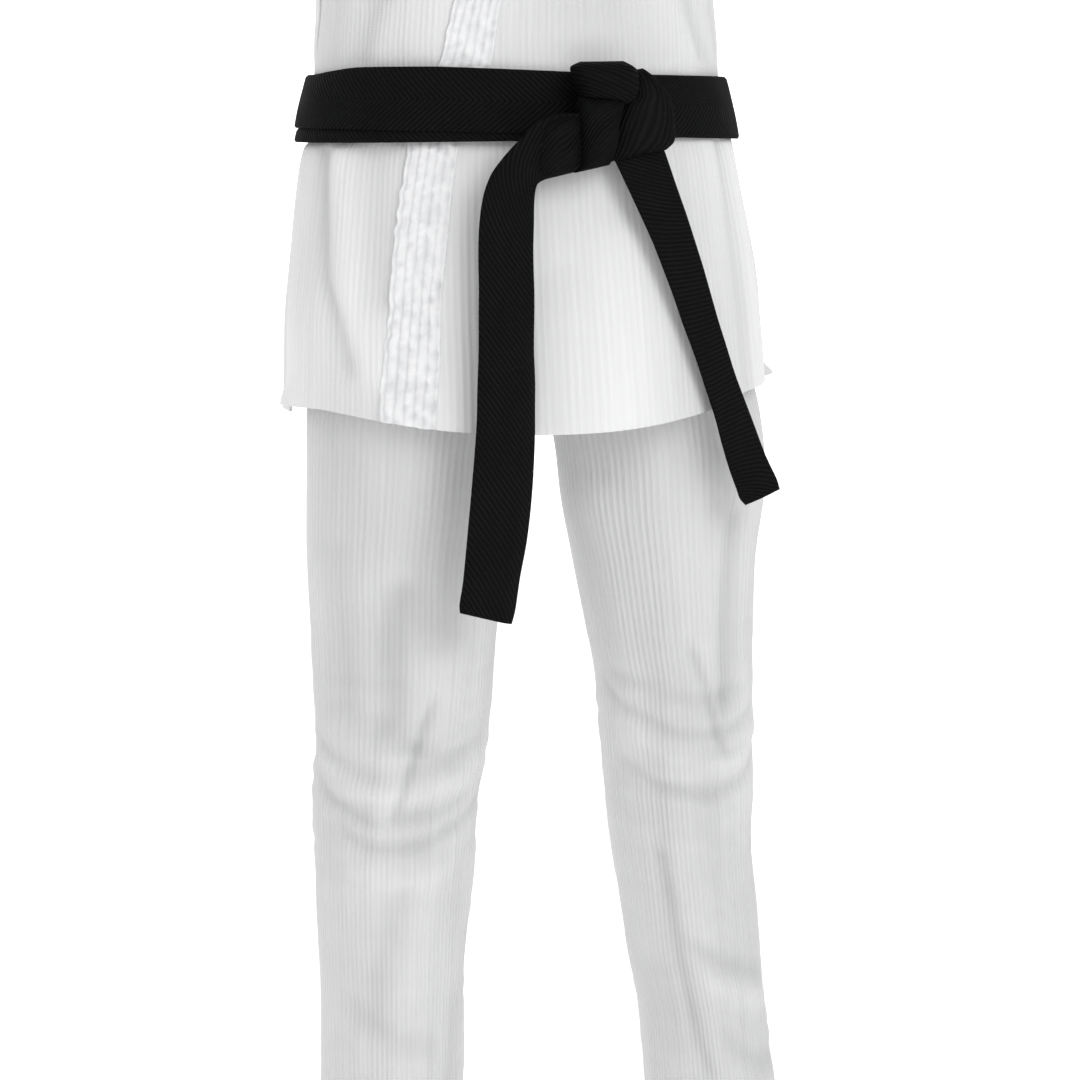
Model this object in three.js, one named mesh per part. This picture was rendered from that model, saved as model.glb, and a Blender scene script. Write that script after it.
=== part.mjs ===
// A karate uniform as it is worn: wrap-over jacket, belt tied in a square knot, trousers.
// Millimetres. +Z is up, the front faces -Y and the wearer's left side is +X.
// The origin is the centre of the waist, at the middle of the belt's height.
import * as THREE from "three";
import { RoundedBoxGeometry } from "three/addons/geometries/RoundedBoxGeometry.js";

// ---------- driving dimensions ----------

const CLOTH = 2.5; // wall of a panel of canvas
const SEAM_GAP = 0.3; // clearance at a seam
const BAND = 4.2; // thickness of the quilted lapel band
const LAP_CLEAR = 1.3; // between the band beneath and the front that laps over it
const BAND_WIDTH = 34;

const WAIST_BREADTH = 318; // jacket at the belt
const WAIST_DEPTH = 204;
const HEM_BREADTH = 396; // jacket skirt at its hem
const HEM_DEPTH = 256;
const CHEST_BREADTH = 360;
const CHEST_DEPTH = 236;
const SHOULDER_BREADTH = 400;
const ARMPIT_HEIGHT = 230;
const NECK_HEIGHT = 405;
const SHOULDER_DROP = 33; // from the neck side to the shoulder tip
const NECK_HALF_BREADTH = 72;
const ARMHOLE_HALF_DEPTH = 50;
const HEM_HEIGHT = -244; // skirt hem at the front
const BACK_HEM_HEIGHT = -232;

const BELT_WIDTH = 48;
const BELT_THICKNESS = 3;
const BELT_CLEAR = 1.1; // between the lapel and the belt
const TURN_CLEAR = 0.5; // between the belt's two turns
const LONG_END_TIP = -382;
const SHORT_END_TIP = -304;

const SLEEVE_LENGTH = 455; // shoulder joint to cuff, along the arm
const SLEEVE_DROP = 25; // degrees below horizontal
const ARM_JOINT_X = 190;
const ARM_JOINT_Z = 304;
const ELBOW_AT = 300; // along the arm
const CUFF_HALF_HEIGHT = 62;

const TROUSER_CLEAR = 0.8; // between the waistband and the jacket at the sides
const EYELET_ROOM = 4; // between the waistband and the jacket in front
const SEAT_ROOM = 20; // between the seat and the skirt round it
const CROTCH_HEIGHT = -217;
const KNEE_HEIGHT = -533;
const CUFF_HEIGHT = -937;
const KNEE_HALF_BREADTH = 67;
const ANKLE_HALF_BREADTH = 56;
const FACING_HEIGHT = 38; // hem facings inside the cuffs

const CANVAS = { color: 0xe9eaee, roughness: 0.9, metalness: 0 };
const TROUSER_CANVAS = { color: 0xdfe0e5, roughness: 0.92, metalness: 0 };
const QUILTED = { color: 0xf2f3f6, roughness: 0.85, metalness: 0 };
const BELT_COTTON = { color: 0x17171a, roughness: 0.75, metalness: 0 };
const EYELET_METAL = { color: 0xb9bcc2, roughness: 0.35, metalness: 0.9 };

// What fits to those dimensions
const TROUSER_WAIST_BREADTH = WAIST_BREADTH - 2 * TROUSER_CLEAR;
const TROUSER_WAIST_DEPTH = WAIST_DEPTH - 2 * EYELET_ROOM;
const HINGE_ZONE = 65; // cloth below the belt that folds when the skirt lifts
const SKIRT_TOP = -BELT_WIDTH / 2 - 5;
const FLAP_TOP = SKIRT_TOP - HINGE_ZONE;
const LAP = BAND + LAP_CLEAR; // how far the front that laps over stands off the one beneath
const SEAT_BREADTH = HEM_BREADTH - 2 * SEAT_ROOM - 6;
const SEAT_DEPTH = HEM_DEPTH - 2 * SEAT_ROOM;
const THIGH_HALF_BREADTH = SEAT_BREADTH / 4 - 2.5;
const OVER = LAP + CLOTH; // outer face of the front that laps over
const BELT_OFFSET = LAP + BAND + BELT_CLEAR;
const KNEE_ZONE = 82; // half height of the cloth that folds at the knee
const ELBOW_ZONE = 65;
const SHOULDER_ZONE = 175; // cloth that folds between the armhole and the sleeve

const root = new THREE.Group();

// ---------- helpers ----------

const radians = THREE.MathUtils.degToRad;
const { lerp, smoothstep } = THREE.MathUtils;

// Straight-line reading of a table of [position, value] rows.
function read(rows, at) {
  const last = rows.length - 1;
  if (at <= rows[0][0]) return rows[0][1];
  if (at >= rows[last][0]) return rows[last][1];
  const k = rows.findIndex((row) => at < row[0]);
  const [p0, v0] = rows[k - 1];
  const [p1, v1] = rows[k];
  return lerp(v0, v1, (at - p0) / (p1 - p0));
}

function addPart(name, geometry, look) {
  const mesh = new THREE.Mesh(geometry, new THREE.MeshStandardMaterial(look));
  mesh.name = name;
  root.add(mesh);
  return mesh;
}

// Turns the faces of a closed geometry outwards.
function facingOut(positions, index) {
  const [a, b, c] = [new THREE.Vector3(), new THREE.Vector3(), new THREE.Vector3()];
  let volume = 0;
  for (let i = 0; i < index.length; i += 3) {
    a.fromArray(positions, 3 * index[i]);
    b.fromArray(positions, 3 * index[i + 1]);
    c.fromArray(positions, 3 * index[i + 2]);
    volume += a.dot(b.cross(c));
  }
  return volume < 0 ? index.toReversed() : index;
}

// A sheet of cloth with two faces and closed edges. face(u, v, side) gives the point for
// u across and v along, on the inner face (side 0) or the outer face (side 1).
// A wrapped sheet closes on itself across, which makes a tube with open ends.
function sheet(face, { across, along, wrapped = false }) {
  const columns = wrapped ? across : across + 1;
  const positions = [];
  for (const side of [0, 1])
    for (let j = 0; j <= along; j++)
      for (let i = 0; i < columns; i++)
        positions.push(...face(i / across, j / along, side).toArray());
  const at = (i, j, side) => (side * (along + 1) + j) * columns + (i % columns);
  const index = [];
  const quad = (p, q, r, s) => index.push(p, q, r, p, r, s);
  for (let i = 0; i < across; i++) {
    for (let j = 0; j < along; j++) {
      quad(at(i, j, 1), at(i + 1, j, 1), at(i + 1, j + 1, 1), at(i, j + 1, 1));
      quad(at(i, j, 0), at(i, j + 1, 0), at(i + 1, j + 1, 0), at(i + 1, j, 0));
    }
    quad(at(i, 0, 0), at(i + 1, 0, 0), at(i + 1, 0, 1), at(i, 0, 1));
    quad(at(i, along, 1), at(i + 1, along, 1), at(i + 1, along, 0), at(i, along, 0));
  }
  for (let j = 0; j < along && !wrapped; j++) {
    quad(at(0, j, 1), at(0, j + 1, 1), at(0, j + 1, 0), at(0, j, 0));
    quad(at(across, j, 0), at(across, j + 1, 0), at(across, j + 1, 1), at(across, j, 1));
  }
  const geometry = new THREE.BufferGeometry();
  geometry.setAttribute("position", new THREE.Float32BufferAttribute(positions, 3));
  geometry.setIndex(facingOut(positions, index));
  return geometry;
}

// ---------- the jacket's shape ----------

// The skirt flares from the belt (0) to its hem (1).
const FLARE = 12; // how far the skirt stands out just below the belt
const skirtBreadth = (down) => lerp(WAIST_BREADTH / 2 + FLARE, HEM_BREADTH / 2 - 4, down);
const skirtDepth = (down) => lerp(WAIST_DEPTH / 2 + FLARE / 3, HEM_DEPTH / 2, down);

// Half breadth and half depth of the jacket's inner face at each height.
const JACKET_BREADTH = [
  [HEM_HEIGHT, skirtBreadth(1)],
  [-190, skirtBreadth(0.83)],
  [-120, skirtBreadth(0.57)],
  [-50, skirtBreadth(0.13)],
  [SKIRT_TOP, skirtBreadth(0)],
  [SKIRT_TOP + 1, WAIST_BREADTH / 2],
  [24, WAIST_BREADTH / 2],
  [40, WAIST_BREADTH / 2 + 4],
  [93, WAIST_BREADTH / 2 - 1],
  [180, CHEST_BREADTH / 2 - 12],
  [ARMPIT_HEIGHT, CHEST_BREADTH / 2],
];
const JACKET_DEPTH = [
  [HEM_HEIGHT, skirtDepth(1)],
  [-120, skirtDepth(0.55)],
  [-60, skirtDepth(0.23)],
  [SKIRT_TOP, skirtDepth(0)],
  [SKIRT_TOP + 1, WAIST_DEPTH / 2],
  [24, WAIST_DEPTH / 2],
  [93, WAIST_DEPTH / 2 + 3],
  [180, CHEST_DEPTH / 2 - 4],
  [ARMPIT_HEIGHT, CHEST_DEPTH / 2],
];

// How far a height is from the armpit (0) to the neck (1).
const upChest = (height) =>
  THREE.MathUtils.clamp((height - ARMPIT_HEIGHT) / (NECK_HEIGHT - ARMPIT_HEIGHT), 0, 1);

const jacketHalfBreadth = (height) =>
  lerp(read(JACKET_BREADTH, height), SHOULDER_BREADTH / 2, upChest(height));

// A point of the jacket's body. side is -1 in front and +1 behind, turn is the angle
// from that side's centre line, and offset is the distance out from the inner face.
function jacketPoint(side, turn, height, offset) {
  const up = upChest(height);
  const half = jacketHalfBreadth(height) + offset;
  const roundTop = Math.sqrt(1 - up ** 2.2);
  const depth = read(JACKET_DEPTH, height) * roundTop + offset + SEAM_GAP / 2;
  const armhole = up > 0 ? ARMHOLE_HALF_DEPTH * Math.sin(Math.PI * up) + offset : 0;
  const edge = Math.min(armhole, depth) + (up > 0 ? 0 : SEAM_GAP / 2);
  const x = half * Math.sin(turn);
  const y = side * (edge + (depth - edge) * Math.cos(turn));
  const beyondNeck = Math.max(Math.abs(x) - NECK_HALF_BREADTH, 0);
  const slope = SHOULDER_DROP / (SHOULDER_BREADTH / 2 - NECK_HALF_BREADTH);
  return new THREE.Vector3(x, y, height - up * beyondNeck * slope);
}

// The angle at which the jacket's face stands x to the side of its centre line.
function turnAt(x, height, offset) {
  const half = jacketHalfBreadth(height) + offset;
  return Math.asin(THREE.MathUtils.clamp(x / half, -1, 1));
}

// Middle of the left lapel band across the front, from the neck to the skirt hem.
const LAPEL_LINE = [
  [HEM_HEIGHT, -133],
  [-152, -124],
  [-100, -118],
  [-28, -105],
  [30, -80],
  [78, -69],
  [NECK_HEIGHT, NECK_HALF_BREADTH],
];
const lapelMiddle = (height) => read(LAPEL_LINE, height);

// The left front stands off the right one where it laps over, and meets the back's face
// at the side seam. mirror is 1 for the left front and -1 for the right front.
function frontOffset(mirror, turn, height) {
  if (mirror < 0) return 0;
  const bandBeneath = turnAt(BAND_WIDTH / 2 - lapelMiddle(height), height, LAP);
  const start = Math.max(radians(45), bandBeneath + radians(3));
  return LAP * (1 - smoothstep(turn, start, Math.min(start + radians(33), radians(88))));
}

const sideSeam = (height, offset) =>
  Math.PI / 2 - SEAM_GAP / (2 * (jacketHalfBreadth(height) + offset));

// ---------- jacket fronts, lapels, back and collar ----------

function frontPanel(mirror, heights, steps) {
  return sheet(
    (u, v, side) => {
      const height = heights(u, v);
      const inner = lapelMiddle(height) + BAND_WIDTH / 2 + SEAM_GAP;
      const from = turnAt(inner, height, LAP);
      const turn = lerp(from, sideSeam(height, CLOTH), u);
      const offset = frontOffset(mirror, turn, height) + side * CLOTH;
      const point = jacketPoint(-1, turn, height, offset);
      point.x *= mirror;
      return point;
    },
    { across: 15, along: steps },
  );
}

function lapelBand(mirror, heights, steps) {
  return sheet(
    (u, v, side) => {
      const height = heights(u, v);
      const x = lapelMiddle(height) + (u - 0.5) * BAND_WIDTH;
      const offset = (mirror > 0 ? LAP : 0) + side * BAND;
      const point = jacketPoint(-1, turnAt(x, height, LAP), height, offset);
      point.x *= mirror;
      return point;
    },
    { across: 2, along: steps },
  );
}

// The hem of the front rises towards the side slit.
const frontHem = (u) => HEM_HEIGHT + 16 * u ** 2;

const bodyRows = (u, v) => lerp(-BELT_WIDTH / 2, NECK_HEIGHT, v);
const foldRows = (u, v) => lerp(FLAP_TOP + SEAM_GAP, SKIRT_TOP, v);
const flapRows = (u, v) => lerp(frontHem(u), FLAP_TOP, v);

for (const [side, mirror] of [["left", 1], ["right", -1]]) {
  addPart(`jacket_front_${side}`, frontPanel(mirror, bodyRows, 12), CANVAS);
  addPart(`lapel_${side}`, lapelBand(mirror, bodyRows, 12), QUILTED);
  addPart(`skirt_front_${side}_fold`, frontPanel(mirror, foldRows, 2), CANVAS);
  addPart(`lapel_${side}_fold`, lapelBand(mirror, foldRows, 2), QUILTED);
  addPart(`skirt_front_${side}`, frontPanel(mirror, flapRows, 4), CANVAS);
  addPart(`lapel_lower_${side}`, lapelBand(mirror, (u, v) => flapRows(0, v), 4), QUILTED);
}

function backPanel(heights, steps) {
  return sheet(
    (u, v, side) => {
      const height = heights(u, v);
      const turn = lerp(-1, 1, u) * sideSeam(height, CLOTH);
      return jacketPoint(1, turn, height, side * CLOTH);
    },
    { across: 22, along: steps },
  );
}

// The back's top edge dips between the neck sides, where the collar is sewn.
const BACK_NECK_DIP = 16;
function backTop(x) {
  const scoop = Math.max(1 - (x / NECK_HALF_BREADTH) ** 2, 0);
  return NECK_HEIGHT - BACK_NECK_DIP * scoop;
}
function backRows(u, v) {
  const x = (SHOULDER_BREADTH / 2) * Math.sin(lerp(-Math.PI / 2, Math.PI / 2, u));
  return lerp(-BELT_WIDTH / 2, backTop(x), v);
}
addPart("jacket_back", backPanel(backRows, 12), CANVAS);
addPart(
  "skirt_back_fold",
  backPanel((u, v) => lerp(FLAP_TOP + SEAM_GAP, SKIRT_TOP, v), 2),
  CANVAS,
);
addPart(
  "skirt_back",
  backPanel((u, v) => lerp(BACK_HEM_HEIGHT, FLAP_TOP, v), 4),
  CANVAS,
);

// The collar stands on the back's neck edge, from one neck side to the other.
const COLLAR_HEIGHT = 34;
const COLLAR_LEAN = 7; // how far its top edge leans in
const COLLAR_CLEAR = 0.9;
addPart(
  "collar",
  sheet(
    (u, v, side) => {
      const x = NECK_HALF_BREADTH * Math.sin(lerp(-Math.PI / 2, Math.PI / 2, u));
      const height = backTop(x);
      const point = jacketPoint(1, turnAt(x, height, 0), height, 0);
      const out = new THREE.Vector2(x / NECK_HALF_BREADTH, point.y / NECK_HALF_BREADTH);
      out.normalize().multiplyScalar(side * BAND - COLLAR_LEAN * v);
      point.z = height + COLLAR_CLEAR + COLLAR_HEIGHT * v;
      return point.add(new THREE.Vector3(out.x, out.y, 0));
    },
    { across: 14, along: 2 },
  ),
  QUILTED,
);

// ---------- sleeves ----------

// Half height and half depth of a sleeve's inner face along the arm.
const SLEEVE_HALF_HEIGHT = [
  [SHOULDER_ZONE, CUFF_HALF_HEIGHT + 9],
  [ELBOW_AT, CUFF_HALF_HEIGHT + 5],
  [SLEEVE_LENGTH, CUFF_HALF_HEIGHT],
];
const SLEEVE_HALF_DEPTH = [
  [SHOULDER_ZONE, 53],
  [ELBOW_AT, 50],
  [SLEEVE_LENGTH, 46],
];

// A point of the sleeve's ring at a distance along the arm, for the left arm.
function sleevePoint(along, round, offset) {
  const drop = radians(SLEEVE_DROP);
  const up = (read(SLEEVE_HALF_HEIGHT, along) + offset) * Math.sin(round);
  return new THREE.Vector3(
    ARM_JOINT_X + along * Math.cos(drop) + up * Math.sin(drop),
    -(read(SLEEVE_HALF_DEPTH, along) + offset) * Math.cos(round),
    ARM_JOINT_Z - along * Math.sin(drop) + up * Math.cos(drop),
  );
}

// The armhole's ring, on the edge of the body.
function armholePoint(round, offset) {
  const up = THREE.MathUtils.clamp((Math.sin(round) + 1) / 2, 0, 1);
  const height = lerp(ARMPIT_HEIGHT, NECK_HEIGHT - SHOULDER_DROP, up);
  const depth = (ARMHOLE_HALF_DEPTH + offset) * Math.sign(Math.cos(round));
  return new THREE.Vector3(
    lerp(CHEST_BREADTH, SHOULDER_BREADTH, up) / 2 + CLOTH + LAP * 0.1 + SEAM_GAP,
    -depth * Math.abs(Math.cos(round)) ** 0.8,
    height + offset * Math.sin(round),
  );
}

function sleeveTube(mirror, from, to, steps) {
  return sheet(
    (u, v, side) => {
      const point = sleevePoint(lerp(from, to, v), u * 2 * Math.PI, side * CLOTH);
      point.x *= mirror;
      return point;
    },
    { across: 18, along: steps, wrapped: true },
  );
}

function sleeveHead(mirror) {
  return sheet(
    (u, v, side) => {
      const round = u * 2 * Math.PI;
      const start = armholePoint(round, side * CLOTH);
      const end = sleevePoint(SHOULDER_ZONE - SEAM_GAP, round, side * CLOTH);
      const point = start.lerp(end, v);
      point.x *= mirror;
      return point;
    },
    { across: 18, along: 3, wrapped: true },
  );
}

function cuffFacing(mirror) {
  return sheet(
    (u, v, side) => {
      const along = lerp(SLEEVE_LENGTH - FACING_HEIGHT, SLEEVE_LENGTH - 1, v);
      const offset = side * CLOTH - CLOTH - SEAM_GAP;
      const point = sleevePoint(along, u * 2 * Math.PI, offset);
      point.x *= mirror;
      return point;
    },
    { across: 18, along: 1, wrapped: true },
  );
}

const elbowStart = ELBOW_AT - ELBOW_ZONE;
const elbowEnd = ELBOW_AT + ELBOW_ZONE;
for (const [side, mirror] of [["left", 1], ["right", -1]]) {
  addPart(`sleeve_head_${side}`, sleeveHead(mirror), CANVAS);
  addPart(`sleeve_upper_${side}`, sleeveTube(mirror, SHOULDER_ZONE, elbowStart, 1), CANVAS);
  addPart(
    `sleeve_elbow_${side}`,
    sleeveTube(mirror, elbowStart + SEAM_GAP, elbowEnd - SEAM_GAP, 2),
    CANVAS,
  );
  addPart(`sleeve_fore_${side}`, sleeveTube(mirror, elbowEnd, SLEEVE_LENGTH, 1), CANVAS);
  addPart(`sleeve_facing_${side}`, cuffFacing(mirror), CANVAS);
}

// ---------- belt ----------

// One turn of the belt round the waist. Its tilt raises the turn on the wearer's right.
function beltTurn(offset, middle, tilt) {
  return sheet(
    (u, v, side) => {
      const turn = u * 2 * Math.PI;
      const grow = offset + side * BELT_THICKNESS;
      const x = (WAIST_BREADTH / 2 + grow) * Math.cos(turn);
      const y = (WAIST_DEPTH / 2 + grow) * Math.sin(turn);
      const z = middle - (tilt * x) / WAIST_BREADTH + (v - 0.5) * BELT_WIDTH;
      return new THREE.Vector3(x, y, z);
    },
    { across: 48, along: 1, wrapped: true },
  );
}
addPart("belt_inner_turn", beltTurn(BELT_OFFSET, -2.5, -3), BELT_COTTON);
const outerTurnOffset = BELT_OFFSET + BELT_THICKNESS + TURN_CLEAR;
addPart("belt_outer_turn", beltTurn(outerTurnOffset, 1, 5), BELT_COTTON);

// The knot: a block wrapped round the turns, and a lobe on each side that holds an end.
const KNOT_DEPTH = 34;
const beltFace = WAIST_DEPTH / 2 + outerTurnOffset + BELT_THICKNESS;
const knotMiddle = -(beltFace + SEAM_GAP + KNOT_DEPTH / 2);
function knotPiece(name, left, right, bottom, top) {
  const shape = new RoundedBoxGeometry(right - left, KNOT_DEPTH, top - bottom, 2, 9);
  shape.deleteAttribute("normal");
  shape.deleteAttribute("uv");
  const mesh = addPart(name, shape, BELT_COTTON);
  mesh.position.set((left + right) / 2, knotMiddle, (bottom + top) / 2);
}
const KNOT_LEFT = 21; // where the middle block meets each lobe
const KNOT_RIGHT = -11;
const LOBE_WIDTH = BELT_WIDTH + 1;
const LOBE_LEFT_BOTTOM = -BELT_WIDTH / 2 - 17;
const LOBE_RIGHT_BOTTOM = -BELT_WIDTH / 2 - 31;
const wrapBottom = -BELT_WIDTH / 2 - 23;
const wrapTop = BELT_WIDTH / 2 + 7;
const lobeLeftEnd = KNOT_LEFT + LOBE_WIDTH;
const lobeRightEnd = KNOT_RIGHT - BELT_WIDTH;
knotPiece("knot_wrap", KNOT_RIGHT, KNOT_LEFT, wrapBottom, wrapTop);
knotPiece("knot_lobe_left", KNOT_LEFT + SEAM_GAP, lobeLeftEnd, LOBE_LEFT_BOTTOM, 22);
knotPiece("knot_lobe_right", lobeRightEnd, KNOT_RIGHT - SEAM_GAP, LOBE_RIGHT_BOTTOM, -8);

// A belt end: middle(down) gives [x, y] of its middle line, from its top to its tip.
function beltEnd(middle, top, tip, steps) {
  return sheet(
    (u, v, side) => {
      const height = lerp(tip, top, v);
      const { x, y, lean, turn } = middle(height);
      const across = (u - 0.5) * BELT_WIDTH;
      const out = (side - 0.5) * BELT_THICKNESS;
      const px = x + across * Math.cos(lean) * Math.cos(turn) + out * Math.sin(turn);
      const py = y + across * Math.cos(lean) * Math.sin(turn) - out * Math.cos(turn);
      return new THREE.Vector3(px, py, height + across * Math.sin(lean));
    },
    { across: 2, along: steps },
  );
}

const LONG_END_TOP = LOBE_RIGHT_BOTTOM - SEAM_GAP;
const LONG_END_LINE = [
  [LONG_END_TIP, -85],
  [-300, -73],
  [-237, -68],
  [LONG_END_TOP, -63],
];
const HANG_CLEAR = 12; // between the skirt and an end that hangs over it
function longEndMiddle(height) {
  const down = (LONG_END_TOP - height) / (LONG_END_TOP - LONG_END_TIP);
  const y = lerp(knotMiddle, -(HEM_DEPTH / 2 + OVER + HANG_CLEAR), Math.min(2 * down, 1));
  return { x: read(LONG_END_LINE, height), y, lean: 0, turn: 0 };
}
const SHORT_END_LEAN = radians(23);
const SHORT_END_TOP = LOBE_LEFT_BOTTOM - 0.25 * BELT_WIDTH * Math.sin(SHORT_END_LEAN);
const SHORT_END_LINE = [
  [SHORT_END_TIP, 160],
  [-189, 110],
  [-107, 77],
  [SHORT_END_TOP, lobeLeftEnd - 0.41 * LOBE_WIDTH],
];
function shortEndMiddle(height) {
  const x = read(SHORT_END_LINE, height);
  const half = jacketHalfBreadth(height) + OVER + HANG_CLEAR;
  const depth = read(JACKET_DEPTH, height) + OVER + HANG_CLEAR;
  const hang = Math.sqrt(1 - (x / half) ** 2);
  const turn = Math.atan2(depth * x, half * half * hang);
  return { x, y: -depth * hang, lean: SHORT_END_LEAN, turn };
}
const END_FOLD = 60; // the stretch of an end that bends as it leaves the knot
for (const [name, middle, top, tip] of [
  ["belt_end_long", longEndMiddle, LONG_END_TOP, LONG_END_TIP],
  ["belt_end_short", shortEndMiddle, SHORT_END_TOP, SHORT_END_TIP],
]) {
  addPart(`${name}_top`, beltEnd(middle, top, top - END_FOLD, 2), BELT_COTTON);
  addPart(name, beltEnd(middle, top - END_FOLD - SEAM_GAP, tip, 5), BELT_COTTON);
}

// ---------- trousers ----------

const WAISTBAND_TOP = 30;
const WAISTBAND_BOTTOM = -8;
const WAISTBAND_SIDES = 24;
const SEAT_ROWS = [
  [CROTCH_HEIGHT + SEAM_GAP, 1],
  [-180, 0.99],
  [-120, 0.93],
  [-60, 0.5],
  [SKIRT_TOP, 0],
  [WAISTBAND_BOTTOM - SEAM_GAP, 0],
];

// A point of the seat: growth runs from the waist's size to the seat's size.
function seatPoint(turn, height, offset) {
  const growth = read(SEAT_ROWS, height);
  const half = lerp(TROUSER_WAIST_BREADTH, SEAT_BREADTH, growth) / 2 - CLOTH + offset;
  const depth = lerp(TROUSER_WAIST_DEPTH, SEAT_DEPTH, growth) / 2 - CLOTH + offset;
  return new THREE.Vector3(half * Math.cos(turn), depth * Math.sin(turn), height);
}
addPart(
  "trouser_waistband",
  sheet(
    (u, v, side) => {
      const height = lerp(WAISTBAND_BOTTOM, WAISTBAND_TOP, v);
      return seatPoint(u * 2 * Math.PI, height, side * CLOTH);
    },
    { across: WAISTBAND_SIDES, along: 1, wrapped: true },
  ),
  TROUSER_CANVAS,
);
for (const [side, middle] of [["left", 0], ["right", Math.PI]])
  addPart(
    `trouser_seat_${side}`,
    sheet(
      (u, v, face) => {
        const [height] = SEAT_ROWS[Math.round(v * (SEAT_ROWS.length - 1))];
        const reach = Math.PI / 2 - (SEAM_GAP * 2) / SEAT_DEPTH;
        return seatPoint(middle + lerp(-reach, reach, u), height, face * CLOTH);
      },
      { across: 12, along: SEAT_ROWS.length - 1 },
    ),
    TROUSER_CANVAS,
  );

// A pair of metal eyelets lets the drawstring out of the waistband. Each one lies flat
// on the first side of the waistband next to the front centre line.
const EYELET_RADIUS = 5;
const EYELET_THICKNESS = 1;
function eyelet(side, mirror) {
  const ring = new THREE.LatheGeometry(
    [
      new THREE.Vector2(EYELET_RADIUS - 2, 0),
      new THREE.Vector2(EYELET_RADIUS, 0),
      new THREE.Vector2(EYELET_RADIUS, EYELET_THICKNESS),
      new THREE.Vector2(EYELET_RADIUS - 2, EYELET_THICKNESS),
      new THREE.Vector2(EYELET_RADIUS - 2, 0),
    ],
    12,
  );
  const height = (WAISTBAND_TOP + WAISTBAND_BOTTOM) / 2;
  const corner = (count) =>
    seatPoint(-Math.PI / 2 + (mirror * count * 2 * Math.PI) / WAISTBAND_SIDES, height, CLOTH);
  const seat = corner(0).lerp(corner(1), 0.5).setZ(height);
  const edge = corner(1).sub(corner(0)).multiplyScalar(mirror);
  const mesh = addPart(`drawstring_eyelet_${side}`, ring, EYELET_METAL);
  mesh.rotation.z = Math.atan2(edge.y, edge.x);
  const out = new THREE.Vector3(0, -1, 0).applyEuler(mesh.rotation);
  mesh.position.copy(seat).addScaledVector(out, EYELET_THICKNESS + SEAM_GAP);
}
eyelet("left", 1);
eyelet("right", -1);

// ---------- legs ----------

// Half breadth, half depth and squareness of a leg's outer face at each height.
const LEG_BREADTH = [
  [CUFF_HEIGHT, ANKLE_HALF_BREADTH],
  [-708, ANKLE_HALF_BREADTH + 2],
  [-597, KNEE_HALF_BREADTH - 3],
  [KNEE_HEIGHT, KNEE_HALF_BREADTH],
  [-440, KNEE_HALF_BREADTH + 5],
  [-357, KNEE_HALF_BREADTH + 8],
  [-300, THIGH_HALF_BREADTH - 4],
  [-250, THIGH_HALF_BREADTH],
  [CROTCH_HEIGHT, THIGH_HALF_BREADTH - 2],
];
const LEG_DEPTH = [
  [CUFF_HEIGHT, 66],
  [-708, 66],
  [KNEE_HEIGHT, 72],
  [-357, 79],
  [-275, 86],
  [CROTCH_HEIGHT, SEAT_DEPTH / 2 - 16],
];
const LEG_SQUARENESS = [
  [-300, 2],
  [CROTCH_HEIGHT, 2.2],
];
// Middle of each leg, and how full it is: the left foot stands a little wider.
const legAxis = (hip, knee, calf, ankle) => [
  [CUFF_HEIGHT, ankle],
  [-708, calf],
  [KNEE_HEIGHT, knee],
  [CROTCH_HEIGHT, hip],
];
const hipReach = (fullness) => SEAT_BREADTH / 2 - (THIGH_HALF_BREADTH - 2) * fullness;
const LEGS = {
  left: { fullness: 0.94, line: legAxis(hipReach(0.94), 124, 138, 166) },
  right: { fullness: 1, line: legAxis(-hipReach(1), -119, -127, -136) },
};

// The gusset closes the crotch between the two legs.
const GUSSET_CLEAR = 2.5;
const crotchEdge = (fullness) => hipReach(fullness) - (THIGH_HALF_BREADTH - 2) * fullness;
const gussetLeft = crotchEdge(LEGS.left.fullness) - GUSSET_CLEAR;
const gussetRight = GUSSET_CLEAR - crotchEdge(LEGS.right.fullness);
const gusset = new THREE.BoxGeometry(gussetLeft - gussetRight, SEAT_DEPTH, CLOTH);
const gussetMesh = addPart("crotch_gusset", gusset, TROUSER_CANVAS);
gussetMesh.position.set((gussetLeft + gussetRight) / 2, 0, CROTCH_HEIGHT - CLOTH / 2);

function legPoint(leg, turn, height, offset) {
  const power = 2 / read(LEG_SQUARENESS, height);
  const round = (value) => Math.sign(value) * Math.abs(value) ** power;
  const half = read(LEG_BREADTH, height) * leg.fullness - CLOTH + offset;
  const depth = read(LEG_DEPTH, height) - CLOTH + offset;
  return new THREE.Vector3(
    read(leg.line, height) + half * round(Math.cos(turn)),
    depth * round(Math.sin(turn)),
    height,
  );
}

function legTube(leg, bottom, top, steps, inset = 0) {
  return sheet(
    (u, v, side) => {
      const offset = side * CLOTH - inset;
      return legPoint(leg, u * 2 * Math.PI, lerp(bottom, top, v), offset);
    },
    { across: 20, along: steps, wrapped: true },
  );
}

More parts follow.
